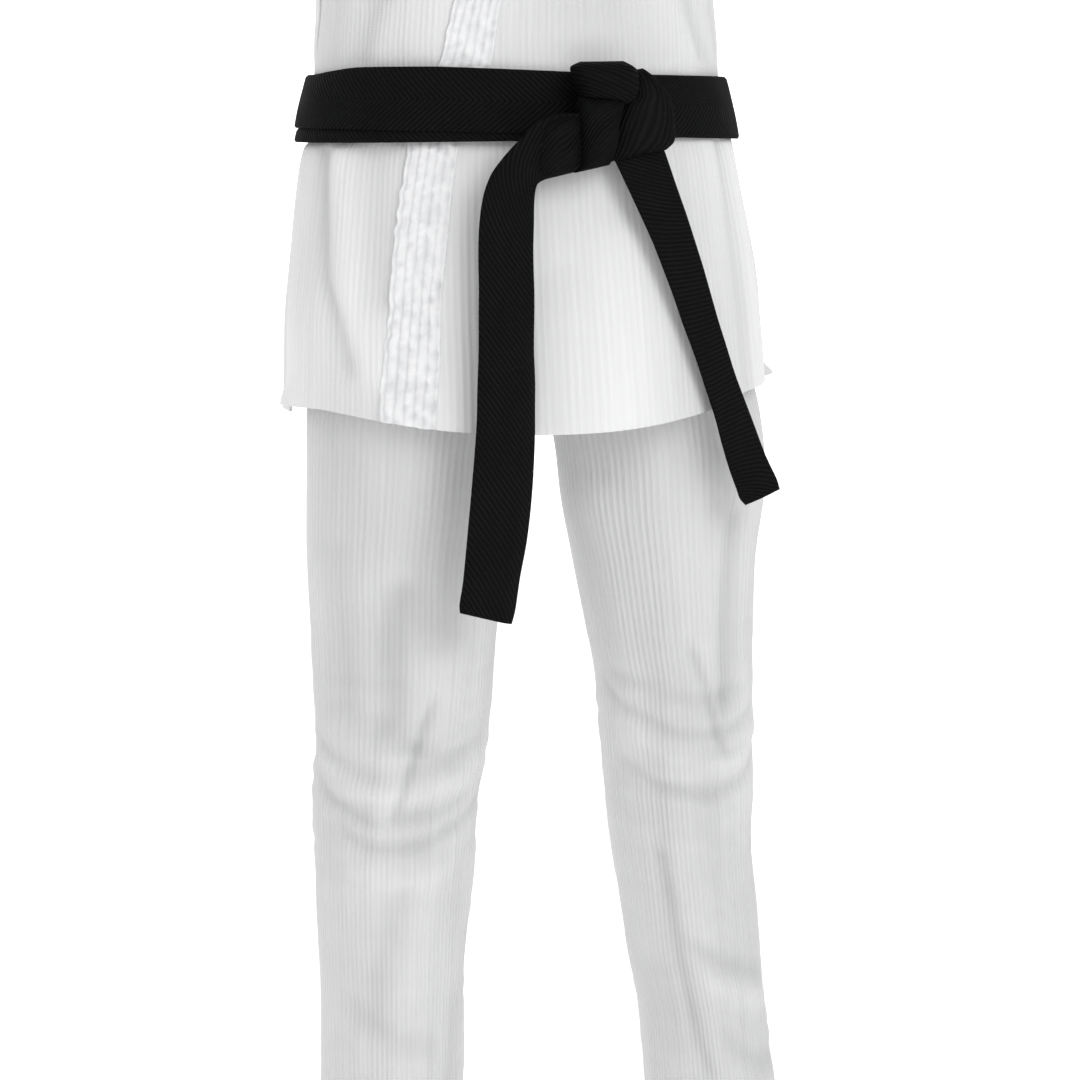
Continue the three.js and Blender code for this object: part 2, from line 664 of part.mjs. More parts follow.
const THIGH_TOP = -268;
const kneeTop = KNEE_HEIGHT + KNEE_ZONE;
const kneeBottom = KNEE_HEIGHT - KNEE_ZONE;
for (const [side, leg] of Object.entries(LEGS)) {
  const hip = legTube(leg, THIGH_TOP + SEAM_GAP, CROTCH_HEIGHT, 2);
  addPart(`trouser_hip_${side}`, hip, TROUSER_CANVAS);
  addPart(`trouser_thigh_${side}`, legTube(leg, kneeTop, THIGH_TOP, 4), TROUSER_CANVAS);
  const knee = legTube(leg, kneeBottom + SEAM_GAP, kneeTop - SEAM_GAP, 3);
  addPart(`trouser_knee_${side}`, knee, TROUSER_CANVAS);
  addPart(`trouser_shin_${side}`, legTube(leg, CUFF_HEIGHT, kneeBottom, 3), TROUSER_CANVAS);
  const facing = legTube(leg, CUFF_HEIGHT + 1, CUFF_HEIGHT + FACING_HEIGHT, 1, CLOTH + SEAM_GAP);
  addPart(`trouser_facing_${side}`, facing, TROUSER_CANVAS);
}

export default root;
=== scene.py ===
"""Looks of a karate uniform: jacket, tied belt and trousers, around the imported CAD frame."""

import math

import bpy
import numpy as np
from mathutils import Matrix, Vector


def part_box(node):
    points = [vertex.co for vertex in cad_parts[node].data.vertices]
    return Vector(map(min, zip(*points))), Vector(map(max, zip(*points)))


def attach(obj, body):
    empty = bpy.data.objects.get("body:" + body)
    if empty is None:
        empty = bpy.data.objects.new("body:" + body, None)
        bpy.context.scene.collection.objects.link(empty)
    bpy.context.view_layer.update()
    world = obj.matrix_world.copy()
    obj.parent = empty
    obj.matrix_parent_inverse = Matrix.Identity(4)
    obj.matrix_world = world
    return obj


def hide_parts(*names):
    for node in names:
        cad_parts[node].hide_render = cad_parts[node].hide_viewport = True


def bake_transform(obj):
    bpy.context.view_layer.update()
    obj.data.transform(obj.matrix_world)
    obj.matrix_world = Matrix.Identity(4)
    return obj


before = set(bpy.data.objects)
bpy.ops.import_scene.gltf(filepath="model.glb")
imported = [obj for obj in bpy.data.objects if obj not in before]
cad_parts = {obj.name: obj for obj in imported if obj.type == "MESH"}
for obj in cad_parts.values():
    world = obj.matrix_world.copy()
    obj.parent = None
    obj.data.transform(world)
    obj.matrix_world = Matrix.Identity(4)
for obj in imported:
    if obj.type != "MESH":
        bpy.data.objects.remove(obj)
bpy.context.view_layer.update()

MM = 0.001
CAMERA_AZIMUTH, CAMERA_ROLL = math.radians(-20), math.radians(-1.0)
CAMERA_DISTANCE, CAMERA_ASIDE, CAMERA_HEIGHT = 2.2, 0.010, 0.013
TARGET_HEIGHT = -0.3475
SENSOR, LENS = 36, 92.0
FLOOR_LEVEL, FLOOR_REACH, WALL_DISTANCE, WALL_HEIGHT = -1.03, 9.0, 5, 7.0
SHARP = math.radians(50)


# ---------- camera, floor and lights ----------

def add_camera():
    """A long lens a little to the wearer's right, looking slightly down at the thighs."""
    right0 = Vector((math.cos(CAMERA_AZIMUTH), math.sin(CAMERA_AZIMUTH), 0))
    behind = Vector((math.sin(CAMERA_AZIMUTH), -math.cos(CAMERA_AZIMUTH), 0))
    eye = behind * CAMERA_DISTANCE + right0 * CAMERA_ASIDE + Vector((0, 0, CAMERA_HEIGHT))
    target = right0 * CAMERA_ASIDE + Vector((0, 0, TARGET_HEIGHT))
    forward = (target - eye).normalized()
    right = forward.cross(Vector((0, 0, 1))).normalized()
    up = right.cross(forward)
    turned_right = right * math.cos(CAMERA_ROLL) + up * math.sin(CAMERA_ROLL)
    turned_up = up * math.cos(CAMERA_ROLL) - right * math.sin(CAMERA_ROLL)
    data = bpy.data.cameras.new("camera")
    data.sensor_width = SENSOR
    data.lens = LENS
    camera = bpy.data.objects.new("camera", data)
    axes = Matrix((turned_right, turned_up, -forward)).transposed().to_4x4()
    camera.matrix_world = Matrix.Translation(eye) @ axes
    bpy.context.scene.collection.objects.link(camera)
    bpy.context.scene.camera = camera


def add_light(name, place, target, size, power):
    data = bpy.data.lights.new(name, "AREA")
    data.shape = "DISK"
    data.size = size
    data.energy = power
    light = bpy.data.objects.new(name, data)
    light.location = place
    direction = Vector(target) - Vector(place)
    light.rotation_euler = direction.to_track_quat("-Z", "Y").to_euler()
    bpy.context.scene.collection.objects.link(light)


def add_stage():
    """A pale floor well below the cuffs, a white surround and soft lights."""
    world = bpy.data.worlds.new("studio")
    world.use_nodes = True
    background = world.node_tree.nodes["Background"]
    background.inputs["Color"].default_value = (1, 1, 1, 1)
    background.inputs["Strength"].default_value = 0.56
    bpy.context.scene.world = world
    bpy.context.scene.view_settings.view_transform = "Standard"
    add_light("key", (0.8, -3.2, 1.6), (0, 0, -0.3), 2.2, 52)
    add_light("fill", (-2.6, -2.2, 0.2), (0, 0, -0.3), 2.2, 10)
    corners = ((-1, -1), (1, -1), (1, 1), (-1, 1))
    floor = [(x * FLOOR_REACH, y * FLOOR_REACH, FLOOR_LEVEL) for x, y in corners]
    wall = [(x * FLOOR_REACH, WALL_DISTANCE, FLOOR_LEVEL if y < 0 else WALL_HEIGHT)
            for x, y in corners]
    for name, corners, glow in (("floor", floor, 0.25), ("backdrop", wall, 1.0)):
        mesh = bpy.data.meshes.new(name)
        mesh.from_pydata(corners, [], [(0, 1, 2, 3)])
        made = bpy.data.objects.new(name, mesh)
        bpy.context.scene.collection.objects.link(made)
        material = bpy.data.materials.new(f"{name}_paper")
        material.use_nodes = True
        shader = material.node_tree.nodes["Principled BSDF"]
        shader.inputs["Base Color"].default_value = (0.95, 0.95, 0.95, 1)
        shader.inputs["Roughness"].default_value = 0.9
        shader.inputs["Emission Color"].default_value = (1, 1, 1, 1)
        shader.inputs["Emission Strength"].default_value = glow
        mesh.materials.append(material)


# ---------- numbers ----------

LATTICE = 97
FOLD_GAIN, STANDING_FADE, LYING_FADE = 1.25, 25, 18


def ease(t):
    t = np.clip(t, 0, 1)
    return t * t * (3 - 2 * t)


def mix(a, b, t):
    return a + (b - a) * t


def curve(rows, at):
    """Smooth reading of a table of (position, value) rows, without overshoot."""
    x, y = (np.array(c, float) for c in zip(*sorted(rows)))
    h = np.diff(x)
    d = np.diff(y) / h
    m = np.concatenate([[d[0]], np.zeros(len(x) - 2), [d[-1]]])
    same = d[:-1] * d[1:] > 0
    total = np.where(same, d[:-1] + d[1:], 1)
    m[1:-1] = np.where(same, 2 * d[:-1] * d[1:] / total, 0)
    at = np.clip(at, x[0], x[-1])
    k = np.clip(np.searchsorted(x, at, side="right") - 1, 0, len(h) - 1)
    t = (at - x[k]) / h[k]
    low = (2 * t**3 - 3 * t**2 + 1) * y[k] + (t**3 - 2 * t**2 + t) * h[k] * m[k]
    return low + (3 * t**2 - 2 * t**3) * y[k + 1] + (t**3 - t**2) * h[k] * m[k + 1]


def noise(u, v, seed):
    """Smooth noise from -1 to 1, about one bump per unit."""
    lattice = np.random.default_rng(seed).uniform(-1, 1, (LATTICE, LATTICE))
    i, j = np.floor(u).astype(int), np.floor(v).astype(int)
    fu, fv = ease(u - i), ease(v - j)
    at = lambda a, b: lattice[a % LATTICE, b % LATTICE]
    low = mix(at(i, j), at(i + 1, j), fu)
    return mix(low, mix(at(i, j + 1), at(i + 1, j + 1), fu), fv)


def bell(distance, width):
    return np.exp(-0.5 * (distance / width) ** 2)


def fold(along, across, line, width, depth, fade):
    """A fold that follows line, which gives (place along, place across) rows, and fades at
    both of its ends."""
    places = [p for p, _ in line]
    ends = ease((along - min(places)) / fade + 0.5) * ease((max(places) - along) / fade + 0.5)
    return FOLD_GAIN * depth * ends * bell(across - curve(line, along), width)


def standing_fold(across, height, line, width, depth):
    """A fold that runs up and down. line gives (height, place across) rows."""
    return fold(height, across, line, width, depth, STANDING_FADE)


def lying_fold(across, height, line, width, depth):
    """A fold that runs round. line gives (place across, height) rows."""
    return fold(across, height, line, width, depth, LYING_FADE)


# ---------- meshes ----------

def sheet_grid(rows, columns, left=0.0):
    """Shares of the way up (0 to 1) and across (left to 1) a sheet."""
    shares = np.linspace(0, 1, rows), np.linspace(left, 1, columns)
    return np.meshgrid(*shares, indexing="ij")


def ring_grid(rows, columns, bottom, top, start=-np.pi):
    """Angles round a tube, from start, and places up it from bottom to top."""
    v, u = np.meshgrid(np.linspace(bottom, top, rows), np.arange(columns), indexing="ij")
    return u * 2 * np.pi / columns + start, v


def ring_uv(columns, radius, heights):
    """Places on a tube's cloth, with one more column that closes it."""
    v, u = np.meshgrid(heights, np.arange(columns + 1), indexing="ij")
    return np.stack([u * 2 * np.pi / columns * radius, v], -1)


def outward(mirror, *grids):
    """Grids made for the wearer's left, with their columns turned round for the right."""
    return [grid if mirror > 0 else grid[:, ::-1] for grid in grids]


def grid_normals(points, closed):
    if closed:
        around = np.roll(points, -1, 1) - np.roll(points, 1, 1)
    else:
        around = np.gradient(points, axis=1)
    normals = np.cross(around, np.gradient(points, axis=0))
    return normals / np.maximum(np.linalg.norm(normals, axis=2, keepdims=True), 1e-9)


def cloth(name, outer, uv, thickness, material, closed=False, shade=0.0):
    """A closed sheet of cloth. outer is a grid of points in millimetres, its rows going up
    and its columns going right as seen from outside. uv gives millimetres along the cloth,
    and has one more column than outer where the sheet is closed into a tube. shade is
    painted light and shade at each point: above 0 it lightens the cloth's colour, as on a
    fold's ridge, and below 0 it darkens it, as in a crease or groove."""
    rows, cols = outer.shape[:2]
    thick = np.broadcast_to(np.asarray(thickness, float), (rows, cols))[..., None]
    inner = outer - grid_normals(outer, closed) * thick
    points = np.concatenate([outer.reshape(-1, 3), inner.reshape(-1, 3)])
    base = rows * cols
    spans = cols if closed else cols - 1
    i, j = (a.ravel() for a in np.meshgrid(np.arange(rows - 1), np.arange(spans), indexing="ij"))

    def index(r, c, layer):
        return layer * base + r * cols + (c % cols)

    quads, places = [], []

    def add(corners):
        quads.append(np.stack([index(r, c, layer) for r, c, layer in corners], 1))
        places.append(np.stack([uv[r, c] for r, c, _ in corners], 1))

    add([(i, j, 0), (i, j + 1, 0), (i + 1, j + 1, 0), (i + 1, j, 0)])
    add([(i, j, 1), (i + 1, j, 1), (i + 1, j + 1, 1), (i, j + 1, 1)])
    j = np.arange(spans)
    for row, first in ((0, 1), (rows - 1, 0)):
        r, second = np.full(spans, row), 1 - first
        add([(r, j, first), (r, j + 1, first), (r, j + 1, second), (r, j, second)])
    if not closed:
        i = np.arange(rows - 1)
        for col, first in ((0, 0), (cols - 1, 1)):
            c, second = np.full(rows - 1, col), 1 - first
            add([(i, c, first), (i + 1, c, first), (i + 1, c, second), (i, c, second)])
    mesh = bpy.data.meshes.new(name)
    mesh.from_pydata(points * MM, [], np.concatenate(quads).tolist())
    layer = mesh.uv_layers.new(name="cloth")
    layer.data.foreach_set("uv", (np.concatenate(places) * MM).astype(np.float32).ravel())
    # the shade grid is stored as painted light and shade for the cloth's colour
    painted_shading = mesh.attributes.new("painted_shading", "FLOAT", "POINT")
    shades = np.broadcast_to(np.asarray(shade, float), (rows, cols)).ravel()
    painted_shading.data.foreach_set("value", np.concatenate([shades, shades]).astype(np.float32))
    mesh.materials.append(material)
    mesh.shade_smooth()
    mesh.set_sharp_from_angle(angle=SHARP)
    made = bpy.data.objects.new(name, mesh)
    bpy.context.scene.collection.objects.link(made)
    return made


def piece(name, grid, thickness, material, body, nodes, slot, closed=False, **sheet):
    """A sheet of cloth in place of CAD nodes, which it hides. It rides on one body, or stays where
    it is.
    grid is its points, its places on the cloth and, where it has them, its shades."""
    points, uv, *shade = grid
    made = cloth(name, points, uv, thickness, material, closed, *shade)
    if isinstance(body, str):
        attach(made, body)
    else:
        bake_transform(made)
    if nodes:
        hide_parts(*nodes)


# ---------- materials ----------

class Nodes:
    """A few short words for building a node tree."""

    def __init__(self, name):
        self.material = bpy.data.materials.new(name)
        self.material.use_nodes = True
        self.tree = self.material.node_tree
        self.shader = self.tree.nodes["Principled BSDF"]
        uv = self.node("UVMap")
        uv.uv_map = "cloth"
        split = self.node("SeparateXYZ", Vector=uv.outputs["UV"])
        self.u, self.v = split.outputs["X"], split.outputs["Y"]
        # reads the painted light and shade that each piece stores with its points
        painted_shading = self.node("Attribute")
        painted_shading.attribute_name = "painted_shading"
        self.painted_shading = painted_shading.outputs["Fac"]

    def feed(self, socket, value):
        """Set a socket to a number, or link it to another node's output."""
        if isinstance(value, (int, float)):
            socket.default_value = value
        else:
            self.tree.links.new(value, socket)

    def node(self, kind, **inputs):
        made = self.tree.nodes.new("ShaderNode" + kind)
        for name, value in inputs.items():
            self.feed(made.inputs[name], value)
        return made

    def math(self, operation, a, b=0.0, clamp=False):
        made = self.node("Math")
        made.operation = operation
        made.use_clamp = clamp
        for socket, value in zip(made.inputs, (a, b)):
            self.feed(socket, value)
        return made.outputs[0]

    def times(self, a, b):
        return self.math("MULTIPLY", a, b)

    def sum(self, total, *more):
        for part in more:
            total = self.math("ADD", total, part)
        return total

    def near(self, at_v, reach):
        """1 within reach of the line at_v, and 0 elsewhere."""
        distance = self.math("ABSOLUTE", self.math("SUBTRACT", self.v, at_v))
        return self.math("LESS_THAN", distance, reach)

    def ripple(self, place, pitch):
        """A wave from 0 to 1, once per pitch."""
        wave = self.math("SINE", self.times(place, 2 * math.pi / pitch))
        return self.sum(self.times(wave, 0.5), 0.5)

    def noise(self, scale_u, scale_v, detail=2.0):
        u, v = self.times(self.u, scale_u), self.times(self.v, scale_v)
        place = self.node("CombineXYZ", X=u, Y=v).outputs[0]
        return self.node("TexNoise", Scale=1.0, Detail=detail, Vector=place).outputs["Fac"]

    def colour(self, factor, dark, light):
        made = self.node("Mix")
        made.data_type = "RGBA"
        made.inputs["A"].default_value = (*dark, 1)
        made.inputs["B"].default_value = (*light, 1)
        self.feed(made.inputs["Factor"], factor)
        self.feed(self.shader.inputs["Base Color"], made.outputs["Result"])

    def roughness(self, factor, low, high):
        value = self.sum(self.times(factor, high - low), low)
        self.feed(self.shader.inputs["Roughness"], value)

    def bump(self, height, distance):
        made = self.node("Bump", Distance=distance, Strength=1.0, Height=height)
        self.feed(self.shader.inputs["Normal"], made.outputs["Normal"])


STITCH_PITCH, STITCH_HALF, GROOVE_HALF, STITCH_GAP = 0.0032, 0.0006, 0.0011, 0.28


def canvas(name, dark, light, pitch, depth, stitches=()):
    """Ribbed cotton canvas: fine ribs along the cloth, slubs, and rows of hem stitches."""
    n = Nodes(name)
    ribs = n.ripple(n.u, pitch)
    streaks = n.noise(1 / pitch * 1.5, 7.0, 3.0)
    slubs = n.noise(900.0, 900.0, 1.0)
    weave = n.times(n.ripple(n.u, 0.0011), n.ripple(n.v, 0.0011))
    # the painted shading term paints shade into fold hollows and light onto fold ridges
    tone = n.sum(n.times(ribs, 0.10), n.times(streaks, 0.42), n.times(slubs, 0.10),
                 n.times(n.painted_shading, 0.5), 0.42)
    height = n.sum(n.times(ribs, 0.7), n.times(streaks, 0.9), n.times(weave, 0.25))
    for row in stitches:
        dash = n.math("GREATER_THAN", n.ripple(n.u, STITCH_PITCH), STITCH_GAP)
        mark = n.times(n.near(row, STITCH_HALF), dash)
        tone = n.math("SUBTRACT", tone, n.times(mark, 0.25))
        height = n.math("SUBTRACT", height, n.times(n.near(row, GROOVE_HALF), 1.2))
        height = n.sum(height, n.times(mark, 1.4))
    n.colour(n.math("MINIMUM", tone, 1.0, True), dark, light)
    n.roughness(streaks, 0.82, 0.96)
    n.bump(height, depth)
    n.shader.inputs["Sheen Weight"].default_value = 0.15
    n.shader.inputs["Sheen Roughness"].default_value = 0.6
    return n.material


def quilted(name, dark, light):
    """Plain cotton drill of the stitched lapel band."""
    n = Nodes(name)
    blotches = n.noise(160.0, 160.0, 3.0)
    weave = n.times(n.ripple(n.u, 0.0010), n.ripple(n.v, 0.0010))
    # the painted shading term darkens the stitch grooves and lightens the puckers
    tone = n.sum(n.times(blotches, 0.3), n.times(weave, 0.1), n.times(n.painted_shading, 0.5), 0.56)
    n.colour(n.math("MINIMUM", tone, 1.0, True), dark, light)
    n.roughness(blotches, 0.78, 0.92)
    n.bump(n.sum(blotches, n.times(weave, 0.3)), 0.0005)
    n.shader.inputs["Sheen Weight"].default_value = 0.12
    return n.material


def belt_cotton(name, slope, pitch, herringbone=False, depth=0.0006):
    """Black cotton with a twill line. slope is the rise of the line for each unit along."""
    n = Nodes(name)
    across = n.math("ABSOLUTE", n.v) if herringbone else n.v
    along = n.sum(n.u, n.times(across, slope), n.times(n.noise(60.0, 60.0), 0.0016))
    lines = n.ripple(along, pitch)
    threads = n.ripple(n.v, 0.0009)
    patches = n.noise(28.0, 70.0, 2.0)
    fuzz = n.noise(1400.0, 1400.0, 1.0)
    tone = n.times(lines, n.sum(n.times(patches, 0.7), 0.15))
    tone = n.sum(tone, n.times(fuzz, 0.25))
    # painted shading: lighter on the front of the knot's rolls and their rib crests, darker behind
    # and in the grooves
    tone = n.math("ADD", tone, n.times(n.painted_shading, 0.6), True)
    n.colour(tone, (0.0016, 0.0016, 0.0018), (0.0108, 0.0108, 0.0113))
    n.roughness(patches, 0.72, 0.9)
    n.bump(n.sum(lines, n.times(threads, 0.12), n.times(fuzz, 0.15)), depth)
    n.shader.inputs["Specular IOR Level"].default_value = 0.06
    return n.material


JACKET_TONES = (0.50, 0.502, 0.506), (0.80, 0.801, 0.804)
LEG_TONES = (0.45, 0.452, 0.456), (0.74, 0.741, 0.744)


# ---------- trousers ----------

CUFF, CROTCH, KNEE = -937.0, -217.0, -533.0
THIGH_BLEND = (-0.451, -0.615)
LEG_THICKNESS = 1.8
LEFT_LEG = {
    "centre": [(-950, 167), (-820, 156), (-758, 149), (-694, 140), (-650, 136), (-618, 133),
               (-559, 129), (-511, 127), (-465, 125.5), (-427, 122.5), (-366, 119.5),
               (-317, 117.5), (-283, 116), (-250, 111.5), (-217, 104)],
    "half": [(-950, 53), (-820, 54), (-758, 52.5), (-694, 55.5), (-650, 56), (-618, 57),
             (-559, 60.5), (-511, 62), (-465, 64.5), (-427, 68.5), (-366, 76), (-317, 83.5),
             (-283, 85.5), (-250, 86.5), (-217, 85)],
    "standing": [
        ([(-320, 24), (-392, 19), (-440, 17), (-490, 15)], 6, -3.4),
        ([(-430, -12), (-459, -4), (-490, 4), (-522, 14)], 3.2, -2.4),
        ([(-600, -46), (-642, -42), (-700, -38), (-758, -34), (-800, -26)], 5, -2.6),
        ([(-300, -60), (-420, -58), (-560, -64), (-700, -66)], 9, 1.4),
        ([(-820, -20), (-880, -12), (-930, 0)], 6, -1.8),
    ],
    "lying": [
        ([(-75, -458), (-35, -470), (0, -478), (30, -470)], 6, -1.8),
        ([(-85, -470), (-50, -492), (-20, -504), (15, -505), (45, -494)], 5, -2.2),
        ([(-60, -505), (-20, -528), (20, -530), (60, -510)], 6, 1.2),
        ([(-70, -530), (-35, -550), (0, -556), (35, -544), (60, -528)], 5, -1.9),
        ([(-30, -684), (0, -700), (30, -712), (60, -722)], 7, -2.2),
        ([(-20, -716), (10, -730), (50, -742)], 8, 1.8),
        ([(-10, -770), (30, -792), (70, -800)], 8, -2.0),
        ([(-40, -836), (0, -850), (45, -846)], 8, -1.6),
    ],
    "seed": 11,
}
RIGHT_LEG = {
    "centre": [(-950, -136), (-783, -126), (-708, -124), (-648, -122), (-597, -119),
               (-543, -116), (-500, -111), (-440, -107.5), (-391, -105), (-357, -104),
               (-309, -99), (-276, -96), (-244, -93), (-217, -91)],
    "half": [(-950, 56), (-783, 57), (-708, 58), (-648, 61), (-597, 64), (-543, 67),
             (-500, 69), (-440, 73), (-391, 75.5), (-357, 77), (-309, 81), (-276, 83),
             (-244, 85), (-217, 84)],
    "standing": [
        ([(-360, -20), (-409, -26), (-450, -24), (-486, -30)], 8, -3.4),
        ([(-455, 2), (-469, -2), (-500, -9), (-530, -16), (-548, -20)], 2.8, -2.8),
        ([(-330, -64), (-420, -58), (-470, -56)], 8, -1.8),
        ([(-600, -10), (-660, -26), (-720, -40)], 9, -1.4),
        ([(-700, 40), (-780, 34), (-860, 28)], 7, -1.6),
    ],
    "lying": [
        ([(-20, -488), (14, -502), (50, -492)], 5, -1.9),
        ([(-90, -492), (-60, -508), (-30, -516)], 5, -1.6),
        ([(-80, -506), (-45, -524), (-15, -530), (25, -522), (60, -510)], 6, 1.5),
        ([(-85, -526), (-60, -540), (-34, -552)], 5, -2.2),
        ([(-20, -546), (12, -544), (40, -536)], 5, -2.0),
        ([(-60, -560), (-29, -572), (0, -570), (30, -558), (60, -545)], 5, -2.2),
        ([(-55, -594), (-15, -600), (30, -590)], 7, 1.2),
        ([(-60, -700), (-20, -726), (20, -740)], 9, -1.5),
        ([(-50, -770), (-10, -790), (40, -786)], 9, -1.6),
        ([(-60, -850), (0, -866), (50, -858)], 9, -1.4),
    ],
    "seed": 12,
}
LEGS = {"left": LEFT_LEG, "right": RIGHT_LEG}
LEG_DEPTH = [(-950, 65), (-708, 66), (-533, 72), (-357, 79), (-275, 85), (-217, 91)]
KNEE_BACK = [(-150, -510), (-180, -528), (-205, -515)]
# (drop, tilt, depth) of each fold that repeats KNEE_BACK lower down
KNEE_BACK_FOLDS = ((0, 0.25, -1.5), (-30, -0.1, 1.2), (-58, -0.3, -1.6), (-96, 0.2, -0.8))
# how strongly a fold's depth is painted into the cloth's colour as shade in its hollow and light on
# its ridge
FOLD_SHADE = 0.19
LEG_RIB_RADIUS = 72.0  # as at the knee, so that the ribs run closer towards the cuff


def leg_surface(leg, turn, z, offset=0.0):
    """A point of a leg's outer face. turn is the angle from the front centre line."""
    degrees = np.degrees(turn)
    out = offset + noise(degrees / 34 + 5, z / 62, leg["seed"]) * 1.3
    out = out + noise(degrees / 13 + 9, z / 90, leg["seed"] + 5) * 0.5
    for line, width, depth in leg["standing"]:
        out = out + standing_fold(degrees, z, line, width, depth)
    for line, width, depth in leg["lying"]:
        out = out + lying_fold(degrees, z, line, width, depth)
    wrinkled = 1.0 * bell(z + 522, 62) + 0.45 * bell(z + 800, 130)
    out = out + noise(degrees / 24 - z / 70, z / 10, leg["seed"] + 9) * wrinkled
    wrapped = np.where(degrees > 0, degrees - 360, degrees)
    for drop, tilt, depth in KNEE_BACK_FOLDS:
        line = [(a, h + drop + tilt * (a + 180)) for a, h in KNEE_BACK]
        out = out + lying_fold(wrapped, z, line, 8, depth)
    half = curve(leg["half"], z) + out
    depth = curve(LEG_DEPTH, z) + out
    x = curve(leg["centre"], z) + half * np.sin(turn)
    # the second result is painted shading: darker in the folds' hollows, lighter on their ridges
    return np.stack([x, -depth * np.cos(turn), z], -1), (out - offset) * FOLD_SHADE


TROUSER_CLOTH = canvas("trouser_canvas", *LEG_TONES, 0.0048, 0.0008, (0.036, 0.029, 0.006))
SEAT_CLOTH = canvas("trouser_seat_canvas", *LEG_TONES, 0.0047, 0.0007)
WAISTBAND_CLOTH = canvas("waistband_canvas", *LEG_TONES, 0.0030, 0.0005, (0.004, 0.034))
HEM_TURN, LEG_COLUMNS = 38.0, 180
# the leg ends above the skirt's hem, and HIP_FOLD is the upper end of the blend given for the hip
# cloth inside it
LEG_TOP, HIP_FOLD, HIP_BOTTOM = -218.5, -226.0, -235.4

for side, leg in LEGS.items():
    thigh, shin = f"thigh_{side}", f"shin_{side}"
    turn, z = ring_grid(270, LEG_COLUMNS, CUFF, LEG_TOP)
    points, shade = leg_surface(leg, turn, z)
    uv = ring_uv(LEG_COLUMNS, LEG_RIB_RADIUS, z[:, 0] - CUFF)
    knee_x = float(curve(leg["centre"], np.array(KNEE))) * MM
    start, end = ((knee_x, 0, z) for z in THIGH_BLEND)
    nodes = [f"trouser_{part}_{side}" for part in ("thigh", "knee", "shin")]
    piece(f"trouser_leg_{side}", (points, uv, shade), LEG_THICKNESS, TROUSER_CLOTH,
          (thigh, shin, start, end), nodes, "trouser_leg_canvas", True,
          flat=(0.46, 0.70), held="hung", rests_on=[f"trouser_hip_{side}"])

    turn, z = ring_grid(12, LEG_COLUMNS, CUFF + 1.5, CUFF + HEM_TURN)
    points, _ = leg_surface(leg, turn, z, -LEG_THICKNESS - 0.4)
    uv = ring_uv(LEG_COLUMNS, LEG_RIB_RADIUS, np.linspace(0, HEM_TURN, 12))
    piece(f"trouser_hem_facing_{side}", (points, uv), 1.4, SEAT_CLOTH, shin,
          [f"trouser_facing_{side}"], "facing_canvas", True,
          flat=(0.38, 0.037), held="folded", rests_on=[f"trouser_leg_{side}"])

    turn, z = ring_grid(24, LEG_COLUMNS, HIP_BOTTOM, CROTCH + 0.5)
    points, _ = leg_surface(leg, turn, z, -LEG_THICKNESS - 0.3)
    uv = ring_uv(LEG_COLUMNS, LEG_RIB_RADIUS, np.linspace(HIP_BOTTOM - CUFF, CROTCH - CUFF, 24))
    start, end = ((0.1, 0, z * MM) for z in (CROTCH, HIP_FOLD))
    piece(f"trouser_top_{side}", (points, uv), LEG_THICKNESS, SEAT_CLOTH,
          ("torso", thigh, start, end), [f"trouser_hip_{side}"], "trouser_leg_canvas", True,
          flat=(0.54, 0.02), held="hung", rests_on=[f"trouser_seat_{side}"])


# ---------- jacket ----------

CLOTH, LAPEL_THICKNESS, LAP = 2.2, 4.0, 5.5
HEM, BACK_HEM, SKIRT_UNDER_BELT = -244.0, -232.0, -19.0
ARMPIT, NECK, NECK_HALF, SHOULDER_HALF, SHOULDER_DROP = 230.0, 405.0, 72.0, 200.0, 33.0
ARMHOLE_HALF_DEPTH = 50.0
UNDER_BELT = -16.0
SIDE_SEAM = np.pi / 2 - 0.0015
SKIRT_BLEND = (-0.029, -0.094)
SKIRT_BLEND_Y = 0.065
RIB_RADIUS = 176.0
BODY_HALF = [(-260, 195), (-244, 194.5), (-223, 193), (-200, 191.5), (-160, 190), (-132, 187.5),
             (-95, 183.5), (-59, 179), (-45, 177), (-30, 173), (-19, 163), (24, 162), (40, 162),
             (81, 158.5), (93, 158.5), (140, 163), (180, 170), (230, 180)]
BODY_DEPTH = [(-260, 132), (-244, 131), (-120, 117), (-60, 109), (-30, 104), (-19, 102),
              (24, 102), (93, 105.5), (180, 114), (230, 118)]
LAPEL_FREE = [(-260, -150), (-232, -149), (-191, -146), (-152, -140), (-100, -133.5),
              (-28, -119), (30, -96.5), (78, -84), (405, 53)]
LAPEL_SEWN = [(-260, -112), (-232, -111), (-190, -106), (-152, -103.5), (-101, -96),
              (-29, -83), (30, -58), (78, -50), (405, 93)]
